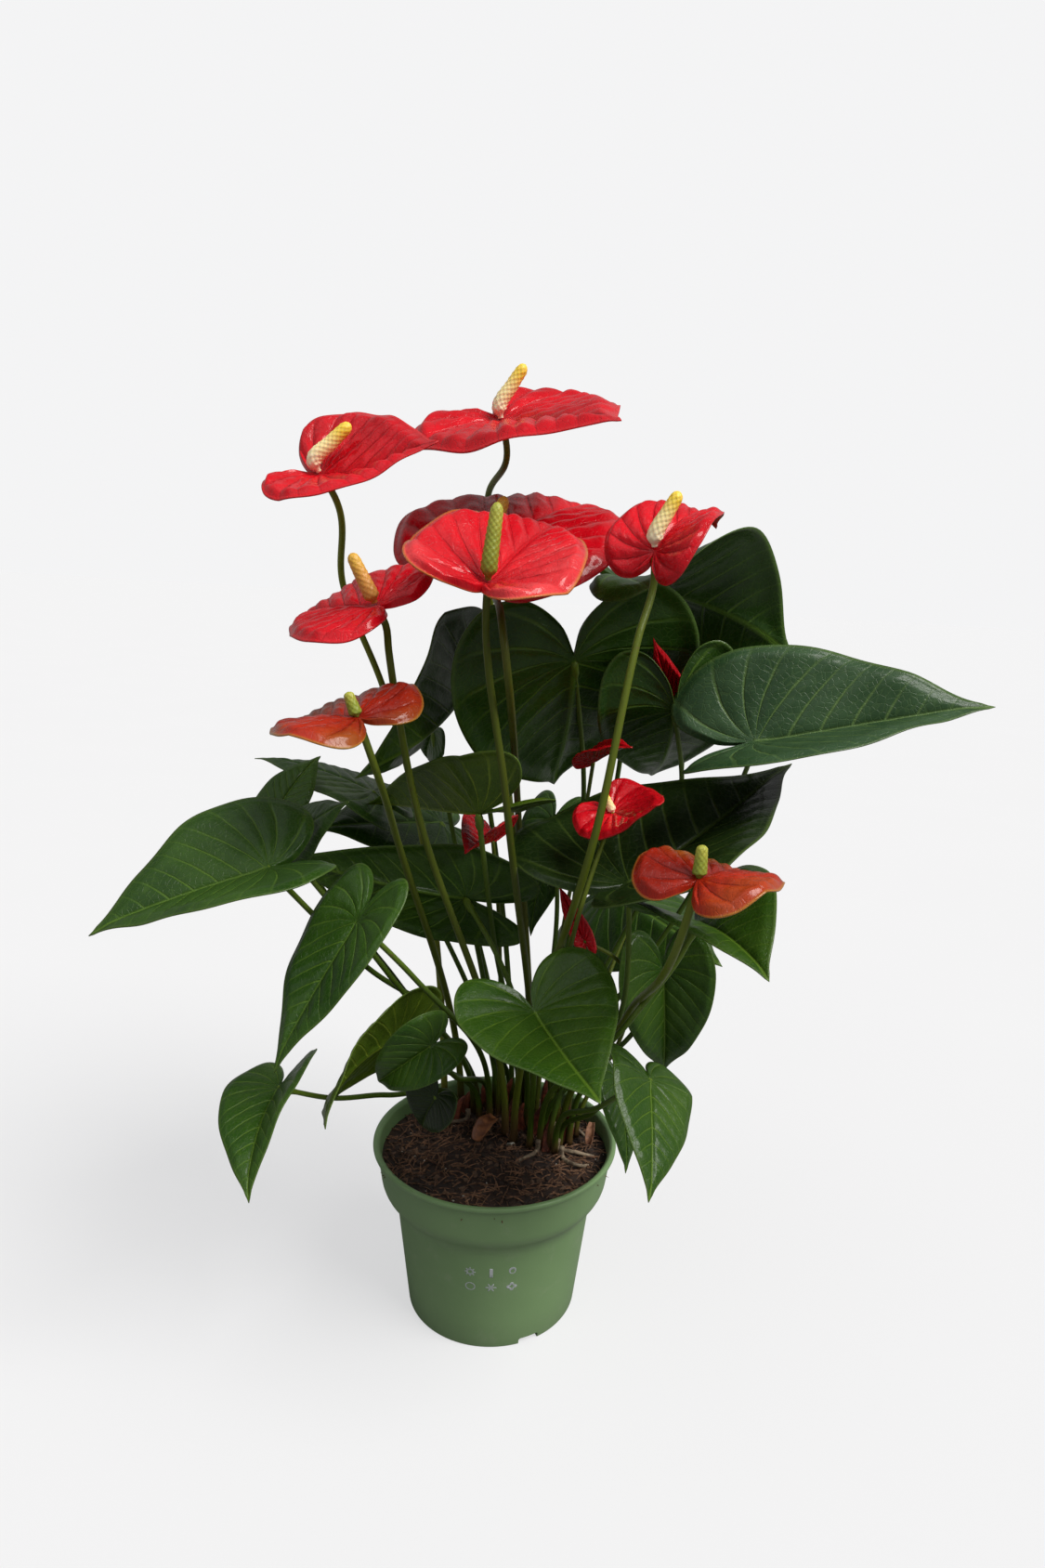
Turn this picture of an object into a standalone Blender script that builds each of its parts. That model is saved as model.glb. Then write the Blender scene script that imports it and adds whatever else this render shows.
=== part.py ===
"""A potted anthurium: nursery pot, potting mix, leaves and flowers, each grown piece one object.

Metres, +Z up. The pot stands on z = 0 with its axis on the Z axis, and -Y is the plant's front.
Plants are laid out in millimetres: a blade runs from its hub, where the stalk joins, to its tip.
"""

import math
from dataclasses import dataclass

import bmesh
import bpy
from mathutils import Matrix, Vector

MM = 0.001
GAP = 0.4 * MM  # clear space between two pieces that touch in the real plant

# Pot: a turned shell, radius and height of the outside from the foot to the rim.
POT_HEIGHT = 134 * MM
POT_RIM_RADIUS = 85 * MM
POT_COLLAR_RADIUS = 79 * MM
POT_COLLAR_Z = 101 * MM
POT_BODY_RADIUS = 69.5 * MM
POT_BODY_Z = 90 * MM
POT_FOOT_RADIUS = 61.7 * MM
POT_WALL = 1.8 * MM
POT_LIP = 3.2 * MM
POT_LIP_DEPTH = 4 * MM
POT_FLOOR = 7 * MM
FOOT_RING_WIDTH = 9 * MM
FOOT_RECESS = 3.5 * MM
FOOT_DISC_RADIUS = 20 * MM
POT_SEGMENTS = 36

DRAIN_HOLES = 6
DRAIN_HOLE_RADIUS = 4.5 * MM
DRAIN_CIRCLE = 36 * MM
NOTCHES = 3
NOTCH_FIRST_ANGLE = -60
NOTCH_WIDTH = 15 * MM
NOTCH_HEIGHT = 5 * MM
NOTCH_STEP = 0.5  # the lower, wider half of the notch

# Potting mix: level round the crown, and a little lower along the wall.
MIX_TOP = 123 * MM
MIX_EDGE_DROP = 2 * MM
MIX_LEVEL_RADIUS = 62 * MM

BLADE_THICKNESS = 1.0 * MM
BLADE_RINGS = (0.5, 1.0)
STALK_RADIUS = 2.1 * MM
STALK_SIDES = 5
FLOWER_STEM_RADIUS = 2.5 * MM
STALK_TAPER = 0.75  # top radius over bottom radius
STALK_STEP = 28 * MM  # length of a straight piece of a stalk
SPADIX_STEP = 6 * MM
FOOT_RISE = 7 * MM

SPADIX_FOOT_RADIUS = 1.5 * MM
SPADIX_RADIUS = 4.2 * MM
SPADIX_SIDES = 8

# Half outlines, across and along a blade 1 long and 1 wide, from the tip round to the notch behind the hub.
LEAF_HALF = (
    (0.0, 1.0), (0.07, 0.88), (0.24, 0.66), (0.42, 0.36), (0.50, 0.06),
    (0.46, -0.17), (0.34, -0.32), (0.18, -0.32), (0.05, -0.19), (0.0, -0.04),
)  # fmt: skip
SPATHE_HALF = (
    (0.0, 1.0), (0.07, 0.90), (0.24, 0.70), (0.42, 0.40), (0.50, 0.10),
    (0.44, -0.14), (0.30, -0.25), (0.15, -0.24), (0.04, -0.14), (0.0, -0.04),
)  # fmt: skip


@dataclass(frozen=True)
class Blade:
    """Where one leaf blade or spathe hangs, in millimetres, and how it is bent, in degrees."""

    hub: tuple
    tip: tuple
    faces: tuple  # rough direction that the upper side looks in
    width: float  # widest part over length
    bend: float  # how far the midrib arches over from hub to tip
    fold: float  # how far each half is raised about the midrib
    lift: float  # how steeply the two lobes behind the hub rise
    twist: float = 0.0  # how far the blade turns about its midrib by the tip


@dataclass(frozen=True)
class Leaf:
    """A leaf: its blade, and its stalk's route from the foot on the mix through via to the hub."""

    name: str
    blade: Blade
    foot: tuple
    via: tuple


@dataclass(frozen=True)
class Flower:
    """A flower: its spathe, its stem's route, and how its spadix points, with its length in mm."""

    name: str
    blade: Blade
    foot: tuple
    via: tuple
    spadix: tuple = ()
    colour: str = "spathe_red"


LEAVES = (
    Leaf(
        "leaf_far_right",
        Blade((146, -6, 416), (279, -9, 446), (-0.2, -0.6, 0.8), 0.83, 1, 36, -0.05),
        foot=(38, 2), via=((133, 46, 326), (150, 44, 385)),
    ),
    Leaf(
        "leaf_upper_right",
        Blade((71, 41, 496), (174, 66, 461), (0.3, 0.1, 0.9), 1.32, 32, 7, 0.35, 90),
        foot=(15, 55), via=((71, 100, 366),),
    ),
    Leaf(
        "leaf_upper_back",
        Blade((37, 14, 453), (24, 100, 367), (-0.4, 0.6, 0.7), 1.27, -25, -6, 0.29, 18),
        foot=(35, 43), via=((48, 85, 364),),
    ),
    Leaf(
        "leaf_back_right",
        Blade((99, 15, 428), (95, 103, 377), (-0.2, 0.5, 0.8), 0.90, -42, 11, 0.46),
        foot=(36, 34), via=((113, 59, 373),),
    ),
    Leaf(
        "leaf_right_broad",
        Blade((76, -47, 338), (174, 24, 403), (-0.4, -0.3, 0.9), 1.15, -11, 21, 0.23),
        foot=(52, 10), via=((80, -38, 266),),
    ),
    Leaf(
        "leaf_right_small",
        Blade((115, -68, 324), (142, -139, 321), (-0.2, -0.1, 1.0), 1.22, 34, 32, 0.03),
        foot=(31, 3), via=((81, -92, 274), (106, -72, 303)),
    ),
    Leaf(
        "leaf_right_inner",
        Blade((76, 138, 275), (154, 54, 252), (-0.2, -0.4, 0.9), 1.08, 10, -30, -0.32),
        foot=(39, 37), via=((72, 108, 223),),
    ),
    Leaf(
        "leaf_right_hanging",
        Blade((107, 5, 263), (116, 20, 178), (0.1, -1.0, -0.1), 0.82, 28, 29, -0.05),
        foot=(33, 18), via=((95, 5, 226),),
    ),
    Leaf(
        "leaf_low_right",
        Blade((92, -114, 247), (92, -171, 210), (0.6, -0.4, 0.7), 0.86, 10, 6, -0.37),
        foot=(42, -3), via=((70, -84, 213), (79, -98, 229)),
    ),
    Leaf(
        "leaf_low_right_behind",
        Blade((80, -53, 211), (87, -86, 167), (0.6, -0.6, 0.5), 0.65, 14, 1, -0.05),
        foot=(45, 6), via=((67, -31, 176),),
    ),
    Leaf(
        "leaf_front",
        Blade((27, -97, 276), (63, -163, 262), (-0.1, -0.3, 1.0), 1.23, -15, 20, 0.31),
        foot=(24, 3), via=((26, -32, 199),),
    ),
    Leaf(
        "leaf_middle_upper",
        Blade((-13, -29, 369), (-92, 38, 359), (0.4, 0.5, 0.8), 0.71, -2, 36, 0.41),
        foot=(13, 45), via=((-7, 11, 284),),
    ),
    Leaf(
        "leaf_left_broad",
        Blade((-26, 14, 303), (-139, -6, 332), (-0.2, 1.0, 0.1), 0.58, -31, 10, -0.43),
        foot=(20, 30), via=((-5, -8, 279),),
    ),
    Leaf(
        "leaf_far_left",
        Blade((-117, -91, 348), (-198, -127, 320), (-0.1, -0.4, 0.9), 1.03, 10, 24, -0.03),
        foot=(6, 60), via=((-86, -24, 270),),
    ),
    Leaf(
        "leaf_left_boat",
        Blade((-127, -40, 349), (-81, -64, 380), (-0.7, -0.5, 0.5), 0.84, -1, -13, -0.06),
        foot=(-21, 44), via=((-68, -23, 261),),
    ),
    Leaf(
        "leaf_left_back",
        Blade((-95, 61, 360), (-177, 72, 378), (0.2, 0.0, 1.0), 0.98, 19, -3, -0.23),
        foot=(-4, 52), via=((-73, 72, 307),),
    ),
    Leaf(
        "leaf_back_broad",
        Blade((-59, 133, 324), (-136, 65, 332), (0.4, -0.3, 0.9), 0.96, 10, -0, -0.19),
        foot=(-1, 60), via=((-37, 105, 278),),
    ),
    Leaf(
        "leaf_upper_left",
        Blade((-31, 47, 433), (-82, -47, 391), (-0.9, 0.3, 0.4), 0.86, -38, 27, -0.35),
        foot=(7, 50), via=((-17, 65, 358),),
    ),
    Leaf(
        "leaf_back_round",
        Blade((-59, 94, 396), (-66, 119, 371), (-0.8, -0.6, -0.3), 1.06, 43, 13, 0.40),
        foot=(-6, 58), via=((-46, 89, 338),),
    ),
    Leaf(
        "leaf_centre_hanging",
        Blade((27, 109, 333), (14, 89, 250), (-0.2, -0.9, 0.3), 0.56, 34, -6, -0.11),
        foot=(24, 53), via=((33, 87, 288),),
    ),
    Leaf(
        "leaf_left_narrow",
        Blade((-72, -86, 319), (-109, -132, 249), (-0.4, -0.6, 0.6), 0.64, 9, 12, 0.08),
        foot=(-8, 36), via=((-46, -64, 279),),
    ),
    Leaf(
        "leaf_low_left",
        Blade((-63, -43, 226), (-87, -123, 211), (-0.9, 0.2, 0.5), 1.05, 41, 7, 0.03),
        foot=(-16, 39), via=((-48, -14, 197),),
    ),
    Leaf(
        "leaf_low_left_behind",
        Blade((-31, -92, 249), (-66, -78, 215), (-0.4, -0.9, 0.0), 0.80, 56, 31, -0.31),
        foot=(-10, 52), via=((-27, -14, 186),),
    ),
    Leaf(
        "leaf_left_drooping",
        Blade((-124, -80, 209), (-122, -147, 177), (-0.4, -0.4, 0.8), 0.80, 39, 26, 0.04),
        foot=(-32, 40), via=((-74, -12, 168), (-101, -53, 188)),
    ),
    Leaf(
        "leaf_near_mix",
        Blade((-35, -48, 190), (-46, -36, 158), (-0.6, -0.8, -0.1), 1.13, 37, 18, 0.05),
        foot=(-38, 25), via=((-39, -2, 154),),
    ),
    Leaf(
        "leaf_left_upright",
        Blade((-141, 6, 358), (-123, 41, 386), (0.1, -0.6, 0.8), 0.68, 28, 2, -0.05),
        foot=(-20, 58), via=((-77, 54, 221), (-131, 24, 317)),
    ),
)

FLOWERS = (
    Flower(
        "top_left",
        Blade((-104, -1, 542), (-38, -35, 559), (-0.4, -0.5, 0.8), 1.15, -27, 18, 0.22),
        foot=(-42, 38), via=((-86, 56, 431), (-105, 44, 486)), spadix=(18, -1, 23),
    ),
    Flower(
        "top",
        Blade((-11, 36, 578), (53, -44, 573), (-0.2, -0.3, 0.9), 1.08, -6, 2, 0.35),
        foot=(21, 60), via=((-15, 134, 412), (-23, 87, 544)), spadix=(13, -1, 26),
    ),
    Flower(
        "left",
        Blade((-63, -61, 479), (-118, -20, 469), (-0.4, -0.3, 0.9), 1.22, 17, 6, -0.00),
        foot=(5, 18), via=((-51, -42, 393), (-57, -61, 458)), spadix=(-11, -1, 22),
    ),
    Flower(
        "centre",
        Blade((-5, -80, 492), (27, 0, 526), (0.1, -0.4, 0.9), 0.95, 21, 18, 0.47),
        foot=(23, 42), via=((5, -59, 384),), spadix=(4, -1, 33),
    ),
    Flower(
        "centre_back",
        Blade((-10, -6, 510), (50, 85, 540), (0.0, -0.3, 1.0), 1.21, 36, 4, -0.06),
        foot=(22, 47), via=((6, 55, 336), (1, -69, 475)), spadix=(6, -1, 25),
    ),
    Flower(
        "right",
        Blade((74, -64, 511), (109, -22, 528), (-0.1, -0.3, 0.9), 0.93, 70, 19, -0.28),
        foot=(12, 9), via=((57, -87, 393), (69, -72, 471)), spadix=(10, -1, 24),
    ),
    Flower(
        "low_left",
        Blade((-65, -100, 429), (-114, -53, 417), (-0.3, -0.1, 1.0), 1.13, 12, 9, -0.38),
        foot=(-31, 48), via=((-58, -40, 352),), spadix=(-4, 0, 11), colour="spathe_orange",
    ),
    Flower(
        "low_right",
        Blade((98, -168, 378), (137, -115, 359), (0.2, 0.2, 1.0), 0.95, 34, 8, -0.48),
        foot=(46, 12), via=((80, -62, 260),), spadix=(0, 1, 14), colour="spathe_orange",
    ),
)

SMALL_FLOWERS = (
    Flower(
        "small_flower_centre",
        Blade((64, -42, 377), (82, -92, 395), (-0.6, 0.1, 0.8), 0.87, -47, 6, 0.55),
        foot=(43, 29), via=((51, -62, 334),), spadix=(-6, 0, 11),
    ),
    Flower(
        "bud_right",
        Blade((53, -5, 285), (35, 7, 318), (0.1, -0.9, 0.4), 0.42, -16, 30, -0.25),
        foot=(57, 20), via=((86, 22, 218), (74, -1, 273)),
    ),
    Flower(
        "small_flower_back",
        Blade((52, 20, 394), (73, -12, 411), (-0.5, 0.1, 0.9), 0.70, 11, 42, -0.01),
        foot=(27, 28), via=((51, 48, 371),),
    ),
    Flower(
        "small_flower_left",
        Blade((-10, 32, 338), (-23, -11, 342), (0.0, 0.1, 1.0), 1.17, -1, 51, -0.03),
        foot=(-2, 40), via=((-7, 42, 299),),
    ),
    Flower(
        "bud_back",
        Blade((102, 40, 428), (84, 16, 467), (0.4, -0.9, -0.4), 0.46, -24, 26, -0.00),
        foot=(50, 28), via=((119, 119, 375),),
    ),
)

# Litter on the mix: name, place, length and width in mm, turn and lean in degrees, arch in mm, finish.
LITTER = (
    ("dried_leaf", (-14, 4), (26, 13), 62, 14, 5, "dried_brown"),
    ("dried_sheath", (66, 8), (16, 6), 80, 50, 2, "dried_brown"),
    ("label_strip", (9, 1), (13, 4), -70, 38, 1, "label_grey"),
)
LITTER_ROWS = 6
LITTER_THICKNESS = 0.8 * MM
LITTER_CLEAR = 1.6 * MM


def material(name, colour, roughness):
    """Returns a new Principled material with a plain colour."""
    made = bpy.data.materials.new(name)
    made.use_nodes = True
    made.diffuse_color = (*colour, 1.0)
    shader = made.node_tree.nodes["Principled BSDF"]
    shader.inputs["Base Color"].default_value = (*colour, 1.0)
    shader.inputs["Roughness"].default_value = roughness
    shader.inputs["Metallic"].default_value = 0.0
    return made


COLOURS = {
    "pot_green": ((0.27, 0.37, 0.20), 0.55),
    "mix_brown": ((0.10, 0.055, 0.035), 0.95),
    "leaf_green": ((0.045, 0.15, 0.035), 0.35),
    "stem_green": ((0.13, 0.22, 0.04), 0.45),
    "spathe_red": ((0.62, 0.012, 0.02), 0.25),
    "spathe_orange": ((0.62, 0.05, 0.02), 0.3),
    "spadix_yellow": ((0.85, 0.55, 0.10), 0.5),
    "dried_brown": ((0.20, 0.075, 0.03), 0.8),
    "label_grey": ((0.42, 0.40, 0.34), 0.6),
}


def add_object(name, builder, finish):
    """Links a new mesh object made from a bmesh, and gives it its own material."""
    bmesh.ops.recalc_face_normals(builder, faces=builder.faces)
    mesh = bpy.data.meshes.new(name)
    builder.to_mesh(mesh)
    builder.free()
    made = bpy.data.objects.new(name, mesh)
    bpy.context.scene.collection.objects.link(made)
    colour, roughness = COLOURS[finish]
    mesh.materials.append(material(name, colour, roughness))
    mesh.shade_smooth()
    mesh.set_sharp_from_angle(angle=math.radians(40))
    return made


def hide_operand(operand):
    operand.hide_render = True
    operand.display_type = "WIRE"
    operand.hide_set(True)


def combine(target, operand, operation):
    """Adds a Boolean of target with operand, and hides the operand."""
    modifier = target.modifiers.new(operation.title(), "BOOLEAN")
    modifier.operation = operation
    modifier.solver = "EXACT"
    modifier.object = operand
    modifier.use_self = operation == "UNION"
    hide_operand(operand)


def lathe(builder, profile, segments):
    """Turns a closed profile of (radius, z) points about the Z axis. Points at radius 0 stay single."""
    rings = []
    for radius, z in profile:
        count = 1 if radius == 0 else segments
        angles = [2 * math.pi * k / segments for k in range(count)]
        rings.append(
            [builder.verts.new((radius * math.cos(a), radius * math.sin(a), z)) for a in angles]
        )
    for lower, upper in zip(rings, rings[1:] + rings[:1]):
        for k in range(segments):
            corners = [
                lower[k % len(lower)], lower[(k + 1) % len(lower)],
                upper[(k + 1) % len(upper)], upper[k % len(upper)],
            ]  # fmt: skip
            unique = list(dict.fromkeys(corners))
            if len(unique) > 2:
                builder.faces.new(unique)


def inner_wall_radius(z):
    """Returns the radius of the pot's inside at height z."""
    stations = (
        (0.0, POT_FOOT_RADIUS),
        (POT_BODY_Z, POT_BODY_RADIUS),
        (POT_COLLAR_Z, POT_COLLAR_RADIUS),
        (POT_HEIGHT, POT_RIM_RADIUS),
    )
    for (z0, r0), (z1, r1) in zip(stations, stations[1:]):
        if z <= z1:
            return r0 + (r1 - r0) * (z - z0) / (z1 - z0) - POT_WALL
    return POT_RIM_RADIUS - POT_WALL


def add_notch_cutter(builder, turn):
    """Adds a stepped bar that cuts one notch through the foot ring at +X, turned about the Z axis."""
    step = NOTCH_HEIGHT * NOTCH_STEP
    wide, narrow = NOTCH_WIDTH / 2, NOTCH_WIDTH / 4
    half = [(wide, -step), (wide, step), (narrow, step), (narrow, NOTCH_HEIGHT)]
    outline = half + [(-across, z) for across, z in reversed(half)]
    inside = POT_FOOT_RADIUS - FOOT_RING_WIDTH * 0.35
    face = builder.faces.new([builder.verts.new((inside, across, z)) for across, z in outline])
    grown = bmesh.ops.extrude_face_region(builder, geom=[face])["geom"]
    moved = [item for item in grown if isinstance(item, bmesh.types.BMVert)]
    bmesh.ops.translate(builder, vec=(FOOT_RING_WIDTH, 0, 0), verts=moved)
    bmesh.ops.transform(builder, matrix=turn, verts=list(face.verts) + moved)


def add_pot():
    """The nursery pot: turned shell with a thick lip, a recessed base, drain holes and foot notches."""
    recess_outer = POT_FOOT_RADIUS - FOOT_RING_WIDTH
    lip_base = POT_HEIGHT - POT_LIP_DEPTH
    lip_outer = POT_RIM_RADIUS - POT_LIP + POT_WALL
    profile = [
        (0, 0),
        (FOOT_DISC_RADIUS, 0),
        (FOOT_DISC_RADIUS + FOOT_RECESS, FOOT_RECESS),
        (recess_outer - FOOT_RECESS, FOOT_RECESS),
        (recess_outer, 0),
        (POT_FOOT_RADIUS, 0),
        (POT_BODY_RADIUS, POT_BODY_Z),
        (POT_COLLAR_RADIUS, POT_COLLAR_Z),
        (lip_outer, lip_base),
        (POT_RIM_RADIUS, lip_base),
        (POT_RIM_RADIUS, POT_HEIGHT - 1 * MM),
        (POT_RIM_RADIUS - 1 * MM, POT_HEIGHT),
        (inner_wall_radius(lip_base), POT_HEIGHT),
        (inner_wall_radius(lip_base), lip_base),
        (inner_wall_radius(POT_COLLAR_Z), POT_COLLAR_Z),
        (inner_wall_radius(POT_BODY_Z), POT_BODY_Z),
        (inner_wall_radius(POT_FLOOR), POT_FLOOR),
        (0, POT_FLOOR),
    ]
    builder = bmesh.new()
    lathe(builder, profile, POT_SEGMENTS)
    pot = add_object("pot", builder, "pot_green")
    cutters = bmesh.new()
    for k in range(DRAIN_HOLES):
        turn = Matrix.Rotation(2 * math.pi * (k + 0.5) / DRAIN_HOLES, 4, "Z")
        place = turn @ Matrix.Translation((DRAIN_CIRCLE, 0, POT_FLOOR / 2))
        bmesh.ops.create_cone(
            cutters, cap_ends=True, segments=12, radius1=DRAIN_HOLE_RADIUS,
            radius2=DRAIN_HOLE_RADIUS, depth=2 * POT_FLOOR, matrix=place,
        )  # fmt: skip
    for k in range(NOTCHES):
        turn = Matrix.Rotation(math.radians(NOTCH_FIRST_ANGLE + 360 / NOTCHES * k), 4, "Z")
        add_notch_cutter(cutters, turn)
    combine(pot, add_object("pot_cutters", cutters, "pot_green"), "DIFFERENCE")


def add_potting_mix():
    """The mix fills the pot from its floor to just under the rim."""
    edge_z = MIX_TOP - MIX_EDGE_DROP
    floor_z = POT_FLOOR + GAP
    profile = [
        (0, floor_z),
        (inner_wall_radius(floor_z) - GAP, floor_z),
        (inner_wall_radius(POT_BODY_Z) - GAP, POT_BODY_Z),
        (inner_wall_radius(POT_COLLAR_Z) - 2 * GAP, POT_COLLAR_Z + GAP),
        (inner_wall_radius(edge_z) - 2 * GAP, edge_z),
        (MIX_LEVEL_RADIUS, MIX_TOP),
        (0, MIX_TOP),
    ]
    builder = bmesh.new()
    lathe(builder, profile, POT_SEGMENTS)
    add_object("potting_mix", builder, "mix_brown")


def blade_axes(blade):
    """Returns the hub, the length from hub to tip, and the blade's across, along and up axes."""
    hub = Vector(blade.hub) * MM
    chord = Vector(blade.tip) * MM - hub
    along = chord.normalized()
    up = Vector(blade.faces)
    up = (up - along * up.dot(along)).normalized()
    return hub, chord.length, along.cross(up), along, up


def blade_point(blade, across, along):
    """Returns the point of the blade's upper side at (across, along) of its flat outline."""
    hub, chord, x_axis, y_axis, z_axis = blade_axes(blade)
    fold = math.radians(blade.fold)
    bend = math.radians(blade.bend) or 0.001
    across *= blade.width
    side = across * math.cos(fold)
    raised = abs(across) * math.sin(fold) + blade.lift * max(0.0, -along)
    twist = math.radians(blade.twist) * along
    side, raised = (
        side * math.cos(twist) - raised * math.sin(twist),
        side * math.sin(twist) + raised * math.cos(twist),
    )
    turned = bend * along
    y = math.sin(turned) / bend + raised * math.sin(turned)
    z = -(1 - math.cos(turned)) / bend + raised * math.cos(turned)
    half = bend / 2
    level = math.cos(half) * y - math.sin(half) * z
    height = math.sin(half) * y + math.cos(half) * z
    length = chord * half / math.sin(half)
    return hub + length * (side * x_axis + level * y_axis + height * z_axis)


def blade_builder(blade, half_outline):
    """Returns a bmesh of the blade's upper side: rings round the hub."""
    left = [(-across, along) for across, along in reversed(half_outline[1:-1])]
    outline = list(half_outline) + left
    builder = bmesh.new()
    hub = builder.verts.new(blade_point(blade, 0.0, 0.0))
    inner = None
    for share in BLADE_RINGS:
        ring = [builder.verts.new(blade_point(blade, x * share, y * share)) for x, y in outline]
        for k in range(len(ring)):
            following = (k + 1) % len(ring)
            if inner is None:
                builder.faces.new((hub, ring[k], ring[following]))
            else:
                builder.faces.new((inner[k], ring[k], ring[following], inner[following]))
        inner = ring
    return builder


def add_blade(name, blade, half_outline, finish):
    """A blade as a plate of even thickness under its upper side."""
    plate = add_object(name, blade_builder(blade, half_outline), finish)
    up = blade_axes(blade)[4]
    if plate.data.polygons[len(plate.data.polygons) // 2].normal.dot(up) < 0:
        plate.data.flip_normals()
    thickness = plate.modifiers.new("Thickness", "SOLIDIFY")
    thickness.thickness = BLADE_THICKNESS
    thickness.offset = -1
    return plate


def smooth_route(points, step):
    """Returns a smooth curve through the points, with a point at about every step of its length."""
    spans = [(end - start).length for start, end in zip(points, points[1:])]
    headings = [(end - start).normalized() for start, end in zip(points, points[1:])]
    tangents = [headings[0]]
    for k in range(1, len(headings)):
        blend = headings[k - 1] * spans[k] + headings[k] * spans[k - 1]
        tangents.append(blend.normalized())
    tangents.append(headings[-1])
    route = []
    for k, span in enumerate(spans):
        count = max(1, round(span / step))
        for j in range(count):
            t = j / count
            route.append(
                points[k] * (2 * t**3 - 3 * t**2 + 1)
                + tangents[k] * span * (t**3 - 2 * t**2 + t)
                + points[k + 1] * (3 * t**2 - 2 * t**3)
                + tangents[k + 1] * span * (t**3 - t**2)
            )
    route.append(points[-1])
    return route


def tube_builder(route, radii, sides):
    """Returns a bmesh of a closed tube along the route, with a radius at each of its points."""
    builder = bmesh.new()
    tangent = (route[1] - route[0]).normalized()
    normal = tangent.orthogonal().normalized()
    rings = []
    for k, (centre, radius) in enumerate(zip(route, radii)):
        ahead = route[min(k + 1, len(route) - 1)] - route[max(k - 1, 0)]
        turn = tangent.rotation_difference(ahead.normalized())
        tangent = ahead.normalized()
        normal = turn @ normal
        ring = []
        for j in range(sides):
            spin = Matrix.Rotation(2 * math.pi * j / sides, 3, tangent)
            ring.append(builder.verts.new(centre + radius * (spin @ normal)))
        rings.append(ring)
    for lower, upper in zip(rings, rings[1:]):
        for j in range(sides):
            following = (j + 1) % sides
            builder.faces.new((lower[j], lower[following], upper[following], upper[j]))
    builder.faces.new(reversed(rings[0]))
    builder.faces.new(rings[-1])
    return builder


def add_stalk(name, plant, end_points, radius, finish):
    """A stalk from its foot on the mix through its via points to end_points."""
    foot = Vector((*plant.foot, 0)) * MM
    foot.z = MIX_TOP + GAP
    points = [foot, foot + Vector((0, 0, FOOT_RISE))]
    points += [Vector(point) * MM for point in plant.via]
    points += end_points
    route = smooth_route(points, STALK_STEP)
    last = len(route) - 1
    radii = [radius * (1 - (1 - STALK_TAPER) * k / last) for k in range(last + 1)]
    return add_object(name, tube_builder(route, radii, STALK_SIDES), finish)


def add_leaf(leaf):
    """A leaf grown as one piece: the blade joined to its stalk."""
    hub, _, _, _, up = blade_axes(leaf.blade)
    blade = add_blade(leaf.name, leaf.blade, LEAF_HALF, "leaf_green")
    stalk = add_stalk(leaf.name + "_stalk", leaf, [hub + 0.3 * MM * up], STALK_RADIUS, "stem_green")
    combine(blade, stalk, "UNION")


def spadix_route(flower):
    """Returns the route and the radii of a flower's spadix, which stands just clear of the spathe."""
    hub, _, _, _, up = blade_axes(flower.blade)
    raised = math.tan(math.radians(abs(flower.blade.fold)))
    foot = hub + up * (2 * GAP + 1.5 * SPADIX_FOOT_RADIUS * raised)
    reach = Vector(flower.spadix) * MM
    points = [foot, foot + up * 4 * MM, foot + up * 3 * MM + reach * 0.5, foot + reach]
    route = smooth_route(points, SPADIX_STEP)
    last = len(route) - 1
    radii = []
    for k in range(last + 1):
        share = k / last
        swell = min(1.0, 4 * share)
        rounded = math.sqrt(max(0.12, 1 - max(0.0, 2.5 * share - 1.5) ** 2))
        thick = SPADIX_RADIUS * (1 - 0.35 * share) * rounded
        radii.append(SPADIX_FOOT_RADIUS + (thick - SPADIX_FOOT_RADIUS) * swell)
    return route, radii


def add_flower(flower):
    """A flower: stem, spathe and spadix, three objects that meet at the spathe's hub."""
    hub, _, _, _, up = blade_axes(flower.blade)
    add_blade("spathe_" + flower.name, flower.blade, SPATHE_HALF, flower.colour)
    droop = max(math.tan(math.radians(0.5 * flower.blade.bend)), 0.0) + max(-flower.blade.lift, 0.0)
    under = hub - up * (BLADE_THICKNESS + GAP + FLOWER_STEM_RADIUS * droop)
    ends = [under - up * 9 * MM, under]
    add_stalk("stem_" + flower.name, flower, ends, FLOWER_STEM_RADIUS, "stem_green")
    builder = tube_builder(*spadix_route(flower), SPADIX_SIDES)
    add_object("spadix_" + flower.name, builder, "spadix_yellow")


def add_small_flower(flower):
    """A small flower or bud grown as one piece: its spathe joined to its stem, and a spadix if it shows."""
    hub, _, _, _, up = blade_axes(flower.blade)
    blade = add_blade(flower.name, flower.blade, SPATHE_HALF, flower.colour)
    stem = add_stalk(flower.name + "_stem", flower, [hub + 0.3 * MM * up], STALK_RADIUS * 0.8, "stem_green")
    combine(blade, stem, "UNION")
    if flower.spadix:
        reach = Vector(flower.spadix) * MM
        route = [hub - up * 0.5 * MM, hub + reach * 0.5, hub + reach * 0.8, hub + reach]
        radii = [SPADIX_FOOT_RADIUS, 2.6 * MM, 2.4 * MM, 1.2 * MM]
        spadix = add_object(flower.name + "_spadix", tube_builder(route, radii, 6), "spadix_yellow")
        combine(blade, spadix, "UNION")


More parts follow.
